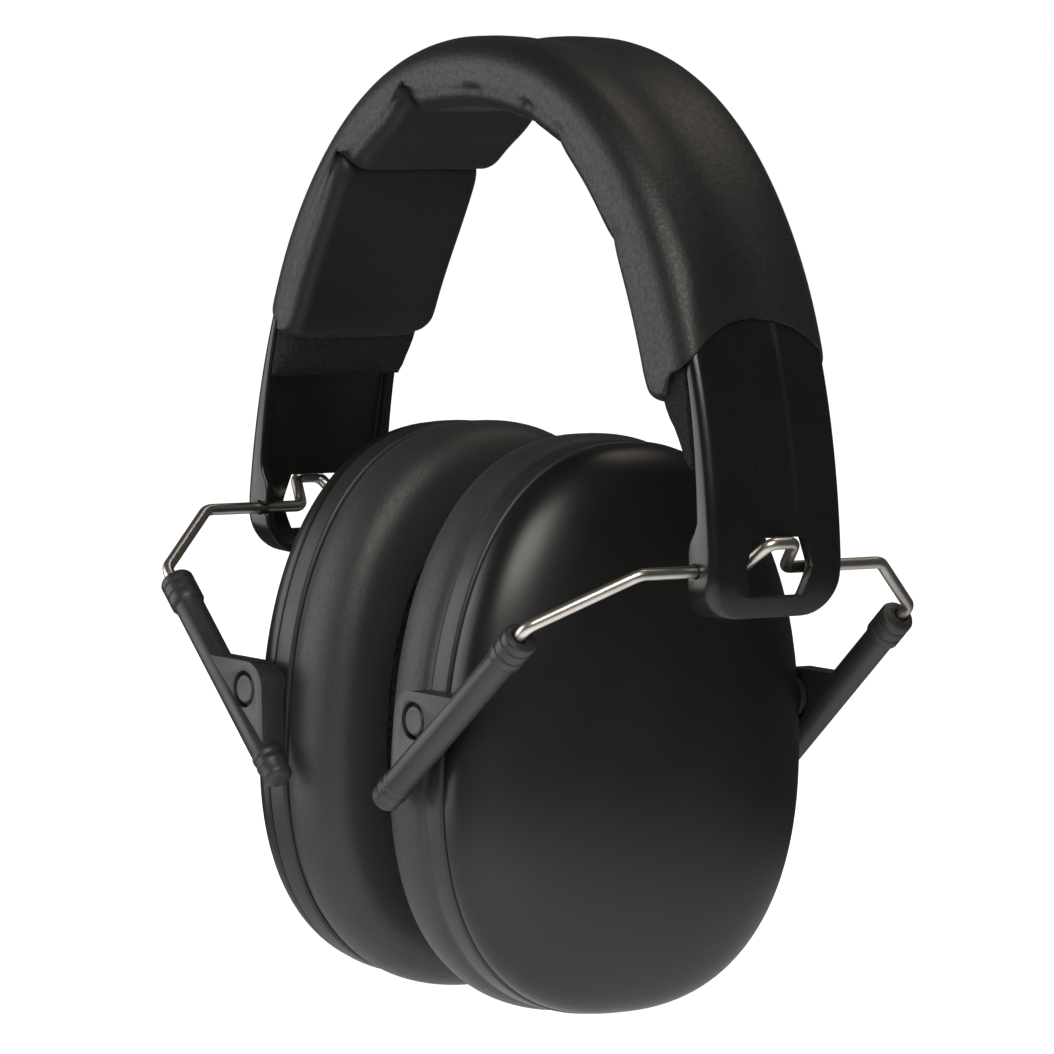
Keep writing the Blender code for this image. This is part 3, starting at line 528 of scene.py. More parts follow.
def open_foam(name, shade, cell_mm):
    """Open-cell foam: thin cell walls, with painted shade that darkens the pits between them."""
    made = bpy.data.materials.new(name)
    made.use_nodes = True
    nodes, links = made.node_tree.nodes, made.node_tree.links
    shader = nodes["Principled BSDF"]
    shader.inputs["Specular IOR Level"].default_value = 0.2
    shader.inputs["Roughness"].default_value = 0.95
    place = nodes.new("ShaderNodeTexCoord")
    cells = nodes.new("ShaderNodeTexVoronoi")
    cells.inputs["Scale"].default_value = 1 / (cell_mm * MM)
    links.new(place.outputs["Object"], cells.inputs["Vector"])
    # Painted shade: the colour is darkest at the middle of each cell, where the bump sinks the pit.
    tint = nodes.new("ShaderNodeValToRGB")
    tint.color_ramp.elements[0].position = 0.15
    tint.color_ramp.elements[0].color = (shade * 0.35, shade * 0.35, shade * 0.36, 1)
    tint.color_ramp.elements[1].position = 0.6
    tint.color_ramp.elements[1].color = (shade * 1.3, shade * 1.3, shade * 1.32, 1)
    links.new(cells.outputs["Distance"], tint.inputs["Fac"])
    links.new(tint.outputs["Color"], shader.inputs["Base Color"])
    bump = nodes.new("ShaderNodeBump")
    bump.inputs["Strength"].default_value = 0.9
    bump.inputs["Distance"].default_value = 0.35 * cell_mm * MM
    links.new(cells.outputs["Distance"], bump.inputs["Height"])
    links.new(bump.outputs["Normal"], shader.inputs["Normal"])
    return made


def foam_ring(angle):
    """A ring across the foam, from the band's inner face or the arm's walls to the pad's underside."""
    top = flange_depth(arch_point(angle, 0, 0).z) + FOAM_CLEARANCE
    near = (angle - FOAM_NEAR_ANGLE) / (PAD_NEAR_ANGLE - WEDGE_FULL_DEG - FOAM_NEAR_ANGLE)
    far = (FOAM_FAR_ANGLE - angle) / (FOAM_FAR_ANGLE - PAD_FAR_ANGLE - WEDGE_FULL_DEG)
    full = pad_depth(angle) - COVER_WALL - FOAM_SKIN_GAP
    tip = FOAM_TIP * clamp(TIP_START + TIP_RISE * min(near, far))
    low = top + tip + (full - top - tip) * clamp(min(near, far)) ** WEDGE_POWER
    corner = min(FOAM_CORNER, (low - top) / 2)
    half = [(0, top), (FOAM_HALF_WIDTH - FOAM_EDGE_WIDTH, top), (FOAM_HALF_WIDTH, top + FOAM_EDGE_DROP)]
    half += arc((FOAM_HALF_WIDTH - corner, low - corner), corner, 0, 85, 5)
    half += [(y, low) for y in FOAM_LINES]
    return [arch_point(angle, y, d) for y, d in mirrored(half)]


pad_foam = open_foam("pad_foam", shade=0.012, cell_mm=0.5)
spread = FOAM_FAR_ANGLE - FOAM_NEAR_ANGLE
foam_angles = [FOAM_NEAR_ANGLE + spread * k / FOAM_STATIONS for k in range(FOAM_STATIONS + 1)]
strip = skin("foam_strip", [foam_ring(angle) for angle in foam_angles])
settle(strip, crease=60)
dress(strip, pad_foam, "foam", "headband", "headband_foam")

# Wire yokes: bright drawn spring steel, bent cold from one length.
# The hump lies in the arm's window, and the cross bar turns in the notches.
# The legs run into the slide tubes.
WIRE_RADIUS = 1.1
YOKE_LEAN_DEG = 41.0
YOKE_BEND_Y, YOKE_LEG_Y = 26.9, 43.0
YOKE_SPLAY, YOKE_LEG_END = 14.6, 44.2
YOKE_BEND_RADIUS = 3.5
HUMP_HEIGHT, HUMP_HALF_BASE, HUMP_HALF_TOP, HUMP_RADIUS = 7.5, 5.0, 2.7, 1.9
BEND_STEPS = 9


def yoke_point(along, y):
    """A point in the left yoke's plane: how far down the legs from the cross bar, and how far across."""
    lean = math.radians(YOKE_LEAN_DEG)
    return Vector((YOKE_X - along * math.cos(lean), y, YOKE_Z - along * math.sin(lean)))


def bent_path(corners, radii):
    """Straight runs between corners, with an arc in place of each corner."""
    path = [corners[0]]
    for before, corner, after, radius in zip(corners, corners[1:], corners[2:], radii):
        back, on = (before - corner).normalized(), (after - corner).normalized()
        half = back.angle(on) / 2
        middle = corner + (back + on).normalized() * radius / math.sin(half)
        first = (corner + back * radius / math.tan(half) - middle).normalized()
        last = (corner + on * radius / math.tan(half) - middle).normalized()
        path += [middle + first.slerp(last, k / BEND_STEPS) * radius for k in range(BEND_STEPS + 1)]
    return path + [corners[-1]]


def bent_wire(name, path, radius):
    """A round wire along a path."""
    curve = bpy.data.curves.new(name, "CURVE")
    curve.dimensions = "3D"
    curve.bevel_depth = radius * MM
    curve.bevel_resolution = 7
    curve.use_fill_caps = True
    line = curve.splines.new("POLY")
    line.points.add(len(path) - 1)
    for knot, point in zip(line.points, path):
        knot.co = (*(point * MM), 1)
    drawn = bpy.data.objects.new(name, curve)
    bpy.context.scene.collection.objects.link(drawn)
    data = bpy.data.meshes.new_from_object(drawn.evaluated_get(bpy.context.evaluated_depsgraph_get()))
    bpy.data.objects.remove(drawn)
    data.shade_smooth()
    data.set_sharp_from_angle(angle=math.radians(50))
    wire = bpy.data.objects.new(name, data)
    bpy.context.scene.collection.objects.link(wire)
    return wire


def drawn_steel(name):
    """Drawn spring wire: bright, with fine scratches and a little warm oxide."""
    made = bpy.data.materials.new(name)
    made.use_nodes = True
    nodes, links = made.node_tree.nodes, made.node_tree.links
    shader = nodes["Principled BSDF"]
    shader.inputs["Metallic"].default_value = 1.0
    place = nodes.new("ShaderNodeTexCoord")
    oxide = nodes.new("ShaderNodeTexNoise")
    oxide.inputs["Scale"].default_value = 160
    oxide.inputs["Detail"].default_value = 6
    links.new(place.outputs["Object"], oxide.inputs["Vector"])
    tint = nodes.new("ShaderNodeValToRGB")
    tint.color_ramp.elements[0].position = 0.35
    tint.color_ramp.elements[0].color = (0.66, 0.61, 0.54, 1)
    tint.color_ramp.elements[1].position = 0.65
    tint.color_ramp.elements[1].color = (0.80, 0.76, 0.71, 1)
    links.new(oxide.outputs["Fac"], tint.inputs["Fac"])
    links.new(tint.outputs["Color"], shader.inputs["Base Color"])
    scratch = nodes.new("ShaderNodeTexNoise")
    scratch.inputs["Scale"].default_value = 2500
    scratch.inputs["Detail"].default_value = 2
    links.new(place.outputs["Object"], scratch.inputs["Vector"])
    dull = nodes.new("ShaderNodeMapRange")
    dull.inputs["To Min"].default_value = 0.28
    dull.inputs["To Max"].default_value = 0.36
    links.new(scratch.outputs["Fac"], dull.inputs["Value"])
    links.new(dull.outputs["Result"], shader.inputs["Roughness"])
    return made


spring_steel = drawn_steel("drawn_spring_steel")
for word, side in SIDES:
    half = [(YOKE_LEG_END, YOKE_LEG_Y), (YOKE_SPLAY, YOKE_LEG_Y), (0, YOKE_BEND_Y)]
    half += [(0, HUMP_HALF_BASE), (-HUMP_HEIGHT, HUMP_HALF_TOP)]
    corners = [yoke_point(s, -y) for s, y in half] + [yoke_point(s, y) for s, y in reversed(half)]
    bends = [YOKE_BEND_RADIUS, YOKE_BEND_RADIUS, HUMP_RADIUS, HUMP_RADIUS]
    path = on_side(bent_path(corners, bends + bends[::-1]), side)
    yoke = bent_wire(f"{word}_bent_yoke", path, WIRE_RADIUS)
    dress(yoke, spring_steel, "spring_steel", f"{word}_yoke", f"{word}_wire_yoke")

# Slide tubes: black acetal mouldings that grip the wire's legs, each with a fin for the cup's pivot.
# Every tube has a collar at its mouth, two beads and a closed round end at its tail.
TUBE_RADIUS = 2.75
TUBE_MOUTH, TUBE_LENGTH = 17.4, 50.5
TUBE_MOUTH_Y, TUBE_TAIL_Y = 42.3, 44.1
COLLAR_RADIUS, COLLAR_LENGTH = 3.2, 6.4
COLLAR_END_ROUND, COLLAR_END_SLOPE = 0.15, 0.4
COLLAR_MOUTH = ((0, 0.6), (0.2, 0.2), (0.6, 0))
COLLAR_LINES, LINE_DEPTH, LINE_HALF_FLOOR = (2.0, 4.2), 0.2, 0.1
STEP_EDGE, BEAD_EDGE = 0.3, 0.08
BEAD_RADIUS, BEAD_WIDTH, BEADS_FROM_TAIL = 2.98, 1.0, (6.2, 4.2)
BORE_RADIUS, BORE_DEPTH = 1.4, 27.4
FIN_INNER_Y, FIN_OUTER_Y = 40.6, 45.4
FIN_TOP_Z, FIN_INNER_X, FIN_CORNER, FIN_TAIL_BACK = 5.2, 21.2, 5.0, 5.0
PIVOT_X = 26.7
COUNTERBORE_RADIUS, HEAD_THICK, SHANK_RADIUS = 3.4, 1.2, 1.6
POCKET_RADIUS, POCKET_Y = 4.4, 42.6
POCKET_DEPTH, SHANK_BORE_DEPTH = 5.0, 4.0
TIP_ROUND = 1.3
RUNNING_GAP = 0.3
TUBE_BEVEL = 0.25
TOOL_LEAD = -1.0
TURNED_SIDES = 40


def turned(name, start, axis, steps, side, end):
    """A turned piece: steps are distances along the axis, each with its radius."""
    along = Vector(axis).normalized()
    across = along.orthogonal().normalized()
    other = along.cross(across)
    rings = []
    for far, radius in steps:
        centre = Vector(start) + along * far
        turns = [2 * math.pi * k / TURNED_SIDES for k in range(TURNED_SIDES)]
        ring = [centre + radius * (across * math.cos(t) + other * math.sin(t)) for t in turns]
        rings.append(on_side(ring, side, end))
    return skin(name, rings)


def tube_outside():
    """The tube's outside, as distances from its mouth and radii there."""
    e = STEP_EDGE
    steps = [(far, COLLAR_RADIUS - less) for far, less in COLLAR_MOUTH]
    for line in COLLAR_LINES:
        floor_radius = COLLAR_RADIUS - LINE_DEPTH
        steps += [(line - e, COLLAR_RADIUS), (line - LINE_HALF_FLOOR, floor_radius)]
        steps += [(line + LINE_HALF_FLOOR, floor_radius), (line + e, COLLAR_RADIUS)]
    steps += [(COLLAR_LENGTH - e, COLLAR_RADIUS), (COLLAR_LENGTH, COLLAR_RADIUS - COLLAR_END_ROUND)]
    steps += [(COLLAR_LENGTH + COLLAR_END_SLOPE, TUBE_RADIUS)]
    for back in BEADS_FROM_TAIL:
        start, stop = TUBE_LENGTH - back, TUBE_LENGTH - back + BEAD_WIDTH
        steps += [(start - e, TUBE_RADIUS), (start, BEAD_RADIUS - BEAD_EDGE), (start + e, BEAD_RADIUS)]
        steps += [(stop - e, BEAD_RADIUS), (stop, BEAD_RADIUS - BEAD_EDGE), (stop + e, TUBE_RADIUS)]
    tip = arc((TUBE_RADIUS - TIP_ROUND, TUBE_LENGTH - TIP_ROUND), TIP_ROUND, 0, 90, 6)
    return steps + [(far, radius) for radius, far in tip]


def fin_outline():
    """The fin's triangle in (x, z): a level top, a steep inner edge, and the tube along its third side."""
    tail = yoke_point(TUBE_MOUTH + TUBE_LENGTH - FIN_TAIL_BACK, 0)
    lean = math.radians(YOKE_LEAN_DEG)
    top = yoke_point((YOKE_Z - FIN_TOP_Z) / math.sin(lean), 0)
    corner = Vector((FIN_INNER_X, 0, FIN_TOP_Z))
    return [(p.x, p.z) for p in bent_path([tail, corner, top], [FIN_CORNER])]


def tube_tools(side, end):
    """What is taken out of a tube: the wire's bore, the lug's pocket, and the rivet's two bores."""
    leg = yoke_point(TUBE_MOUTH, -YOKE_LEG_Y)
    down = yoke_point(TUBE_MOUTH + 1, -YOKE_LEG_Y) - leg
    pocket, fin = (PIVOT_X, -POCKET_Y, 0), (PIVOT_X, -FIN_OUTER_Y, 0)
    inward = (0, 1, 0)
    head_depth, shank = HEAD_THICK + RUNNING_GAP, SHANK_RADIUS + RUNNING_GAP
    bores = (
        ("bore_tool", leg, down, TOOL_LEAD, BORE_DEPTH, BORE_RADIUS),
        ("pocket_tool", pocket, inward, 0, POCKET_DEPTH, POCKET_RADIUS),
        ("head_tool", fin, inward, TOOL_LEAD, head_depth, COUNTERBORE_RADIUS),
        ("shank_tool", fin, inward, TOOL_LEAD, SHANK_BORE_DEPTH, shank),
    )
    return [turned(name, start, axis, [(low, radius), (high, radius)], side, end)
            for name, start, axis, low, high, radius in bores]


acetal = moulded_black("acetal_black", shade=0.022, gloss=0.40, grain_mm=0.4, grain_depth=0.02)
for word, side in SIDES:
    for place, end in ENDS:
        mouth = yoke_point(TUBE_MOUTH, -TUBE_MOUTH_Y)
        run = yoke_point(TUBE_MOUTH + TUBE_LENGTH, -TUBE_TAIL_Y) - mouth
        tube = turned(f"{word}_{place}_tube_moulding", mouth, run, tube_outside(), side, end)
        faces = (-FIN_OUTER_Y, -FIN_INNER_Y)
        rings = [on_side([(x, y, z) for x, z in fin_outline()], side, end) for y in faces]
        cut(tube, [skin("fin_tool", rings)], "UNION")
        cut(tube, tube_tools(side, end))
        soften(tube, TUBE_BEVEL)
        dress(tube, acetal, "slide_plastic", f"{word}_slides", f"{word}_{place}_slide_tube")

# Pivot rivets: black snap rivets with a flat head, set in the fins' counterbores.
# Their shanks end in the lugs of the cup's ring, so that the cup can tilt.
RIVET_HEAD_RADIUS = 2.7
RIVET_INNER_Y, RIVET_CHAMFER = 40.9, 0.3
RIVET_SINK = 0.1
RIVET_DISH_DEPTH, RIVET_DISH_RADIUS = 0.12, 0.9
RIVET_FACE = ((0.05, 0.9), (0, 0.5), (0.06, 0.2), (0.3, 0))

for word, side in SIDES:
    for place, end in ENDS:
        head = FIN_OUTER_Y - RIVET_SINK
        steps = [(RIVET_DISH_DEPTH, RIVET_DISH_RADIUS)]
        steps += [(far, RIVET_HEAD_RADIUS - less) for far, less in RIVET_FACE]
        steps += [(HEAD_THICK, RIVET_HEAD_RADIUS), (HEAD_THICK, SHANK_RADIUS)]
        steps += [(head - RIVET_INNER_Y - RIVET_CHAMFER, SHANK_RADIUS)]
        steps += [(head - RIVET_INNER_Y, SHANK_RADIUS - RIVET_CHAMFER)]
        rivet = turned(f"{word}_{place}_snap_rivet", (PIVOT_X, -head, 0), (0, 1, 0), steps, side, end)
        settle(rivet)
        dress(rivet, acetal, "slide_plastic", f"{word}_slides", f"{word}_{place}_pivot_rivet")

# Cup shells: deep oval domes moulded in satin black plastic, pressed onto the base rings.
# They are plain outside, with a small round at the rim.
CUP_POWER, CUP_TAPER = 2.36, 0.077
CUP_DROP = -3.8
CUP_SIDES = 144
RING_INNER_X, RING_OUTER_X = 22.0, 27.2
SEAM_GAP = 0.3
SHELL_HALF_Y, SHELL_HALF_Z = 38.8, 51.7
SHELL_DEPTH, SHELL_POWER, SHELL_WALL = 15.0, 2.22, 2.2
DOME_STEPS, LINING_STEPS = 40, 16
DOME_TURN_DEG, DOME_STEP_POWER = 89.6, 0.9
RIM_ROUND, RIM_EDGE = 0.5, 0.12


def oval(x, half_y, half_z, side):
    """A ring of the cup's outline at one depth."""
    points = []
    for k in range(CUP_SIDES):
        turn = 2 * math.pi * (k + 0.5) / CUP_SIDES
        c, s = math.cos(turn), math.sin(turn)
        rise = math.copysign(abs(s) ** (2 / CUP_POWER), s)
        y = half_y * math.copysign(abs(c) ** (2 / CUP_POWER), c) * (1 - CUP_TAPER * rise)
        points.append((x, y, half_z * rise + CUP_DROP))
    return on_side(points, side)


def dome(rim_x, half_y, half_z, depth, steps, side):
    """Rings of a dome from its rim to its top."""
    rings = []
    for k in range(steps + 1):
        turn = math.radians(DOME_TURN_DEG) * (k / steps) ** DOME_STEP_POWER
        size = math.cos(turn) ** (2 / SHELL_POWER)
        rise = math.sin(turn) ** (2 / SHELL_POWER)
        rings.append(oval(rim_x + depth * rise, half_y * size, half_z * size, side))
    return rings


shell_black = moulded_black("shell_satin_black", shade=0.006, gloss=0.36, grain_mm=0.5, grain_depth=0.006,
                            sheen_spread=0.03)
for word, side in SIDES:
    rim = RING_OUTER_X + SEAM_GAP
    outer = dome(rim + RIM_ROUND, SHELL_HALF_Y, SHELL_HALF_Z, SHELL_DEPTH - RIM_ROUND, DOME_STEPS, side)
    inner_y, inner_z = SHELL_HALF_Y - SHELL_WALL, SHELL_HALF_Z - SHELL_WALL
    inner = dome(rim, inner_y, inner_z, SHELL_DEPTH - SHELL_WALL, LINING_STEPS, side)
    edge = [oval(rim + RIM_EDGE, SHELL_HALF_Y - RIM_EDGE, SHELL_HALF_Z - RIM_EDGE, side)]
    edge += [oval(rim, SHELL_HALF_Y - RIM_ROUND, SHELL_HALF_Z - RIM_ROUND, side)]
    shell = skin(f"{word}_domed_shell", outer[::-1] + edge + inner)
    settle(shell, crease=50)
    dress(shell, shell_black, "shell_plastic", f"{word}_cup", f"{word}_cup_shell")

# Acoustic foam: a dished liner of open-cell foam pressed into each shell.
# It follows the bowl at an even thickness, and its own spring holds it there.
LINER_CLEARANCE, LINER_THICKNESS = 1.0, 5.0
LINER_OUTER_STEPS, LINER_INNER_STEPS = 14, 20

liner_foam = open_foam("acoustic_foam_grey", shade=0.045, cell_mm=1.1)
for word, side in SIDES:
    inset = SHELL_WALL + LINER_CLEARANCE
    rim = RING_OUTER_X + LINER_CLEARANCE
    half_y, half_z = SHELL_HALF_Y - inset, SHELL_HALF_Z - inset
    outer = dome(rim, half_y, half_z, SHELL_DEPTH - inset, LINER_OUTER_STEPS, side)
    t = LINER_THICKNESS
    inner = dome(rim, half_y - t, half_z - t, SHELL_DEPTH - inset - t, LINER_INNER_STEPS, side)
    liner = skin(f"{word}_foam_liner", outer[::-1] + inner)
    settle(liner, crease=60)
    dress(liner, liner_foam, "foam", f"{word}_cup", f"{word}_acoustic_foam")

# Cup base rings: stiff black mouldings between the shell and the cushion.
# Each has a plate with an oval ear opening, and a lug at the front and the rear that takes a rivet.
RING_HALF_Y, RING_HALF_Z = 39.1, 52.0
RING_WALL, RING_PLATE, RING_ROUND = 3.2, 2.0, 0.7
EAR_HALF_Y, EAR_HALF_Z = 23.5, 35.0
LUG_RADIUS, LUG_OUTER_Y, LUG_INNER_Y, LUG_NECK_Y, LUG_ROOT_Y = 3.9, 42.3, 39.5, 39.2, 37.7
LUG_NECK_X = RING_OUTER_X - 0.6
LUG_SIDES = 24


def lug(side, end):
    """A round boss on the ring's side that overhangs the shell's edge, just clear of it."""
    outline = arc((PIVOT_X, 0), LUG_RADIUS, 0, 360 - 360 / LUG_SIDES, LUG_SIDES - 1)
    outer = [(x, -LUG_OUTER_Y, z) for x, z in outline]
    inner = [(x, -LUG_INNER_Y, z) for x, z in outline]
    neck = [(min(x, LUG_NECK_X), -LUG_NECK_Y, z) for x, z in outline]
    root = [(x, -LUG_ROOT_Y, z) for x, _, z in neck]
    return skin("lug_tool", [on_side(r, side, end) for r in (outer, inner, neck, root)])


ring_black = moulded_black("ring_matte_black", shade=0.019, gloss=0.44, grain_mm=0.45, grain_depth=0.03)
for word, side in SIDES:
    edge_arc = arc((RING_ROUND, RING_ROUND), RING_ROUND, 180, 270, 4)
    wall_y, wall_z = RING_HALF_Y - RING_WALL, RING_HALF_Z - RING_WALL
    plate = RING_INNER_X + RING_PLATE
    section = [(RING_INNER_X + u, v) for u, v in edge_arc]
    section += [(RING_OUTER_X - u, v) for u, v in reversed(edge_arc)]
    rings = [oval(x, RING_HALF_Y - v, RING_HALF_Z - v, side) for x, v in section]
    rings += [oval(x, y, z, side) for x, y, z in (
        (RING_OUTER_X, wall_y, wall_z), (plate, wall_y, wall_z),
        (plate, EAR_HALF_Y, EAR_HALF_Z), (RING_INNER_X, EAR_HALF_Y, EAR_HALF_Z))]
    ring = skin(f"{word}_base_ring", rings, joined=True)
    settle(ring)
    cut(ring, [lug(side, end) for _, end in ENDS], "UNION")
    bore_radius, bore_end = SHANK_RADIUS + RUNNING_GAP, LUG_OUTER_Y - RIVET_INNER_Y + RUNNING_GAP
    bore = [(TOOL_LEAD, bore_radius), (bore_end, bore_radius)]
    pin = (PIVOT_X, -LUG_OUTER_Y, 0)
    cut(ring, [turned(f"lug_bore{end}", pin, (0, 1, 0), bore, side, end) for _, end in ENDS])
    dress(ring, ring_black, "slide_plastic", f"{word}_cup", f"{word}_cup_base_ring")

# Cushion seats and cushion foam: a moulded plate that snaps onto the base ring, and a soft foam ring on it.
# The cushion's skin hides both, so the solids only take their finishes.


def repaint(node, finish):
    """Give a CAD node that stays its own finish."""
    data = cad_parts[node].data
    data.materials.clear()
    data.materials.append(finish)


for word, _ in SIDES:
    repaint(f"{word}_cushion_seat", ring_black)
    repaint(f"{word}_cushion_foam", pad_foam)

# Ear cushions: rings of soft foam in thin black leatherette, welded round the seat plate's edge.
# The side swells over the ring, the face is crowned, and the skin turns in to the ear opening.
CUSHION_HALF_Y, CUSHION_HALF_Z = 38.7, 51.7
CUSHION_OPEN_Y, CUSHION_OPEN_Z = 22.5, 34.0
CUSHION_FACE_X, CUSHION_BACK_X = 7.6, 21.6
CUSHION_SKIN, CUSHION_SLACK = 1.0, 0.2
CUSHION_DIMPLE, BROAD_PER_MM, FINE_PER_MM, FINE_SHARE = 0.16, 0.09, 0.23, 0.5
SECTION_STEPS = 4


def between(p, q, r, s, t):
    """The value a share t of the way from q to r, on a smooth line through four values."""
    bend = 2 * p - 5 * q + 4 * r - s
    twist = 3 * q - p - 3 * r + s
    return q + (r - p) * t / 2 + bend * t**2 / 2 + twist * t**3 / 2


def spline(points, steps):
    """A smooth line through points, ends included."""
    line = []
    knots = [points[0], *points, points[-1]]
    for run in zip(knots, knots[1:], knots[2:], knots[3:]):
        for k in range(steps):
            line.append(tuple(between(*values, k / steps) for values in zip(*run)))
    return line + [points[-1]]


def cushion_ring(x, q, side):
    """A ring of the cushion: q is 0 at the ear opening and 1 at the outer edge."""
    half_y = CUSHION_OPEN_Y + (CUSHION_HALF_Y - CUSHION_OPEN_Y) * q
    half_z = CUSHION_OPEN_Z + (CUSHION_HALF_Z - CUSHION_OPEN_Z) * q
    ring = []
    for point in oval(x, half_y, half_z, side):
        swell = noise.noise(point * BROAD_PER_MM) + FINE_SHARE * noise.noise(point * FINE_PER_MM)
        ring.append(point + Vector((-side * CUSHION_DIMPLE * swell, 0, 0)))
    return ring


def cushion_section():
    """The skin in section as (x, q): drawn in at the seat, full at the side, crowned, then its lining."""
    side = [(CUSHION_BACK_X, 0.985), (20.6, 1.0), (19.2, 1.035), (16.8, 1.055)]
    side += [(13.6, 1.04), (10.8, 0.98), (9.0, 0.89)]
    face = [(7.9, 0.77), (CUSHION_FACE_X, 0.62), (7.8, 0.45), (8.6, 0.28)]
    inside = [(10.2, 0.13), (12.8, 0.04), (16.2, 0.0), (19.6, 0.03)]
    outer = spline(side + face + inside, SECTION_STEPS)
    thick = CUSHION_SKIN / (CUSHION_HALF_Y - CUSHION_OPEN_Y)
    face_x = CUSHION_FACE_X + CUSHION_SKIN + CUSHION_SLACK
    lining = [(19.6, 0.03 + thick), (15.0, 0.02 + thick), (11.2, 0.11 + thick)]
    lining += [(face_x, 0.40), (face_x, 0.74)]
    lining += [(11.6, 0.98 - thick), (16.2, 1.045 - thick), (CUSHION_BACK_X, 0.985 - thick)]
    return outer + lining


cushion_leather = leatherette("cushion_leatherette", shade=0.026, gloss=0.46,
                              pebble_mm=0.7, pebble_depth=0.09)
for word, side in SIDES:
    rings = [cushion_ring(x, q, side) for x, q in cushion_section()]
    cushion = skin(f"{word}_ear_cushion", rings, joined=True)
    dress(cushion, cushion_leather, "leatherette", f"{word}_cup", f"{word}_cushion_skin")

# Studio: a wide pale floor, a large soft light from the left, one over the camera, and a weak one above.
# A reflector card on the floor gives the gloss its lower light, and white paper stands behind.
FLOOR_DROP, CARD_DROP = 0.0006, 0.0004
FLOOR_RADIUS, CARD_RADIUS = 40.0, 0.24
FLOOR_GLOW, CARD_GLOW = 0.98, 1.3
CARD_CENTRE = (0.08, -0.06)
CUP_MIDDLE, CROWN = (0, 0, 0.04), (0, 0, 0.1)


def pale_disc(name, centre, radius, drop):
    """A flat white disc under the object, as an object and its material."""
    mesh = bmesh.new()
    bmesh.ops.create_circle(mesh, cap_ends=True, radius=radius, segments=64)
    disc = as_piece(name, mesh)
    disc.location = (*centre, cad_box[0][2] - drop)
    made = bpy.data.materials.new(name)
    made.use_nodes = True
    shader = made.node_tree.nodes["Principled BSDF"]
    shader.inputs["Base Color"].default_value = (0.86, 0.86, 0.86, 1)
    shader.inputs["Roughness"].default_value = 0.9
    shader.inputs["Emission Color"].default_value = (1, 1, 1, 1)
    shader.inputs["Emission Strength"].default_value = FLOOR_GLOW
    disc.data.materials.append(made)
    return disc, made


def fade_out(made, radius, strength):
    """Let a disc's glow fade from its middle to its edge."""
    nodes, links = made.node_tree.nodes, made.node_tree.links
    place = nodes.new("ShaderNodeTexCoord")
    scale = nodes.new("ShaderNodeMapping")
    scale.inputs["Scale"].default_value = (1 / radius,) * 3
    fade = nodes.new("ShaderNodeTexGradient")
    fade.gradient_type = "SPHERICAL"
    glow = nodes.new("ShaderNodeMath")
    glow.operation = "MULTIPLY"
    glow.inputs[1].default_value = strength
    links.new(place.outputs["Object"], scale.inputs["Vector"])
    links.new(scale.outputs["Vector"], fade.inputs["Vector"])
    links.new(fade.outputs["Fac"], glow.inputs[0])
    links.new(glow.outputs["Value"], nodes["Principled BSDF"].inputs["Emission Strength"])
    nodes["Principled BSDF"].inputs["Base Color"].default_value = (0, 0, 0, 1)


def soft_light(name, place, target, width, height, power, colour):
    """A rectangular soft light that faces a target."""
    lamp = bpy.data.lights.new(name, "AREA")
    lamp.shape = "RECTANGLE"
    lamp.size, lamp.size_y = width, height
    lamp.energy = power
    lamp.color = colour
    stand = bpy.data.objects.new(name, lamp)
    stand.location = place
    stand.rotation_euler = (Vector(target) - Vector(place)).to_track_quat("-Z", "Y").to_euler()
    bpy.context.scene.collection.objects.link(stand)


floor, _ = pale_disc("studio_floor", (0, 0), FLOOR_RADIUS, FLOOR_DROP)
floor.visible_glossy = False
card, card_white = pale_disc("reflector_card", CARD_CENTRE, CARD_RADIUS, CARD_DROP)
fade_out(card_white, CARD_RADIUS, CARD_GLOW)
card.visible_camera = card.visible_diffuse = card.visible_shadow = False
soft_light("left_light", (-0.98, -1.0, 0.12), CUP_MIDDLE,
           width=1.3, height=1.1, power=11, colour=(1.0, 1.0, 0.95))
soft_light("front_light", (0.92, -0.67, 0.89), CUP_MIDDLE,
           width=0.8, height=0.7, power=13, colour=(1.0, 0.97, 0.90))
soft_light("overhead_light", (0.0, 0.6, 1.4), CROWN,
           width=0.7, height=0.7, power=3, colour=(1.0, 0.90, 0.78))

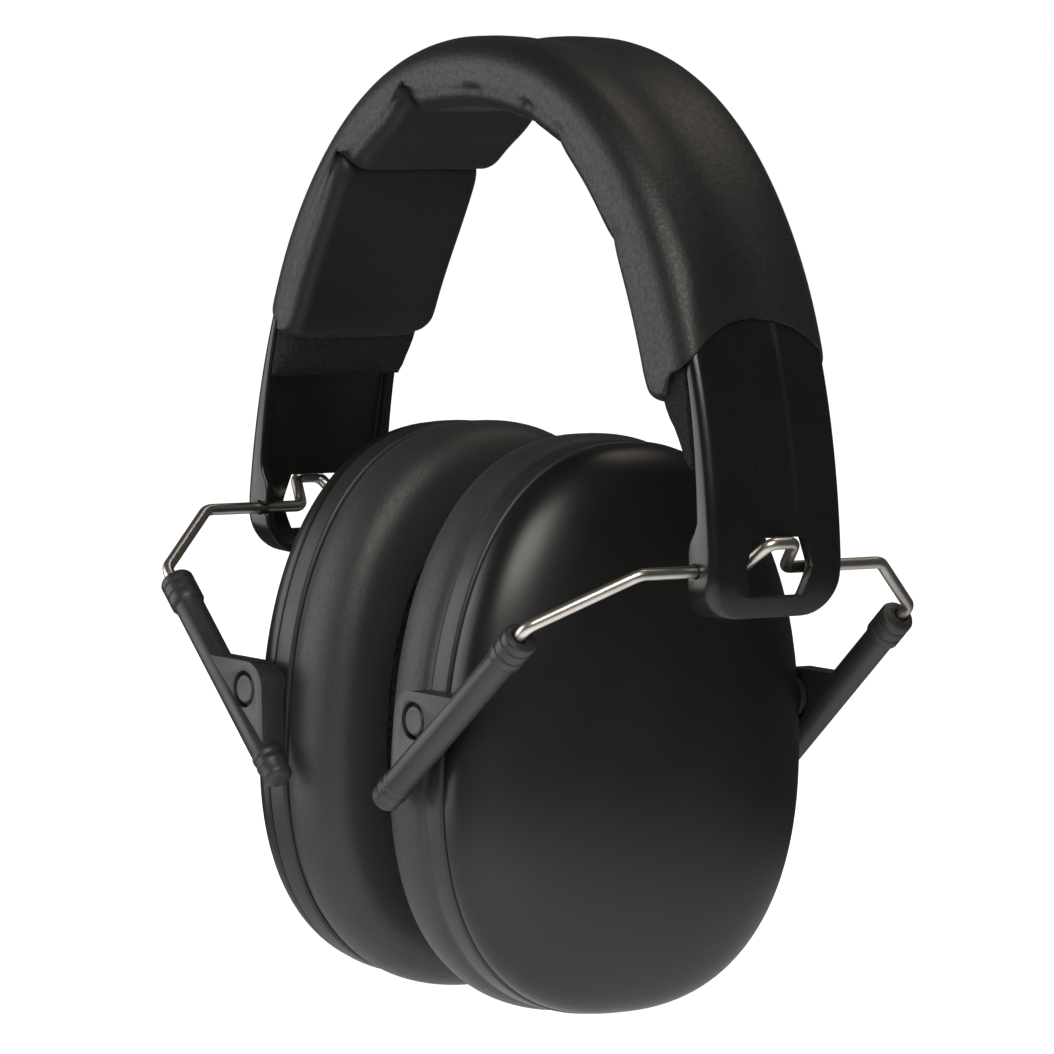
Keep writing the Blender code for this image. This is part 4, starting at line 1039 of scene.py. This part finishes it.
world = bpy.data.worlds.new("studio_air")
world.use_nodes = True
bpy.context.scene.world = world
nodes, links = world.node_tree.nodes, world.node_tree.links
air = nodes["Background"]
air.inputs["Color"].default_value = (0.95, 0.97, 1.0, 1)
air.inputs["Strength"].default_value = 0.05
paper = nodes.new("ShaderNodeBackground")
paper.inputs["Color"].default_value = (1, 1, 1, 1)
rays = nodes.new("ShaderNodeLightPath")
seen = nodes.new("ShaderNodeMixShader")
links.new(rays.outputs["Is Camera Ray"], seen.inputs["Fac"])
links.new(air.outputs["Background"], seen.inputs[1])
links.new(paper.outputs["Background"], seen.inputs[2])
links.new(seen.outputs["Shader"], nodes["World Output"].inputs["Surface"])
bpy.context.scene.view_settings.view_transform = "Standard"

# Camera: a long lens at the photograph's viewing angle, a little above the cups.
# Its shift puts the object where the photograph has it.
CAMERA_AZIMUTH, CAMERA_ELEVATION, CAMERA_ROLL = math.radians(53.37), math.radians(5.2), math.radians(1.21)
CAMERA_DISTANCE = 1.2
CAMERA_TARGET = Vector((0, 0, 0.0304))
FRAME_PIXELS = 1054
PIXELS_PER_MM = 5.45
OPTICAL_CENTRE_X = 533.1
SENSOR_MM = 36

back = Vector((math.sin(CAMERA_AZIMUTH) * math.cos(CAMERA_ELEVATION),
               -math.cos(CAMERA_AZIMUTH) * math.cos(CAMERA_ELEVATION), math.sin(CAMERA_ELEVATION)))
level = Vector((math.cos(CAMERA_AZIMUTH), math.sin(CAMERA_AZIMUTH), 0))
upright = back.cross(level)
right = level * math.cos(CAMERA_ROLL) + upright * math.sin(CAMERA_ROLL)
up = upright * math.cos(CAMERA_ROLL) - level * math.sin(CAMERA_ROLL)
lens = bpy.data.cameras.new("photo_camera")
lens.sensor_width = SENSOR_MM
lens.lens = PIXELS_PER_MM * CAMERA_DISTANCE / MM / FRAME_PIXELS * SENSOR_MM
lens.shift_x = (FRAME_PIXELS / 2 - OPTICAL_CENTRE_X) / FRAME_PIXELS
lens.clip_end = 200
camera = bpy.data.objects.new("photo_camera", lens)
turn = Matrix((right, up, back)).transposed().to_4x4()
camera.matrix_world = Matrix.Translation(CAMERA_TARGET + back * CAMERA_DISTANCE) @ turn
bpy.context.scene.collection.objects.link(camera)
bpy.context.scene.camera = camera
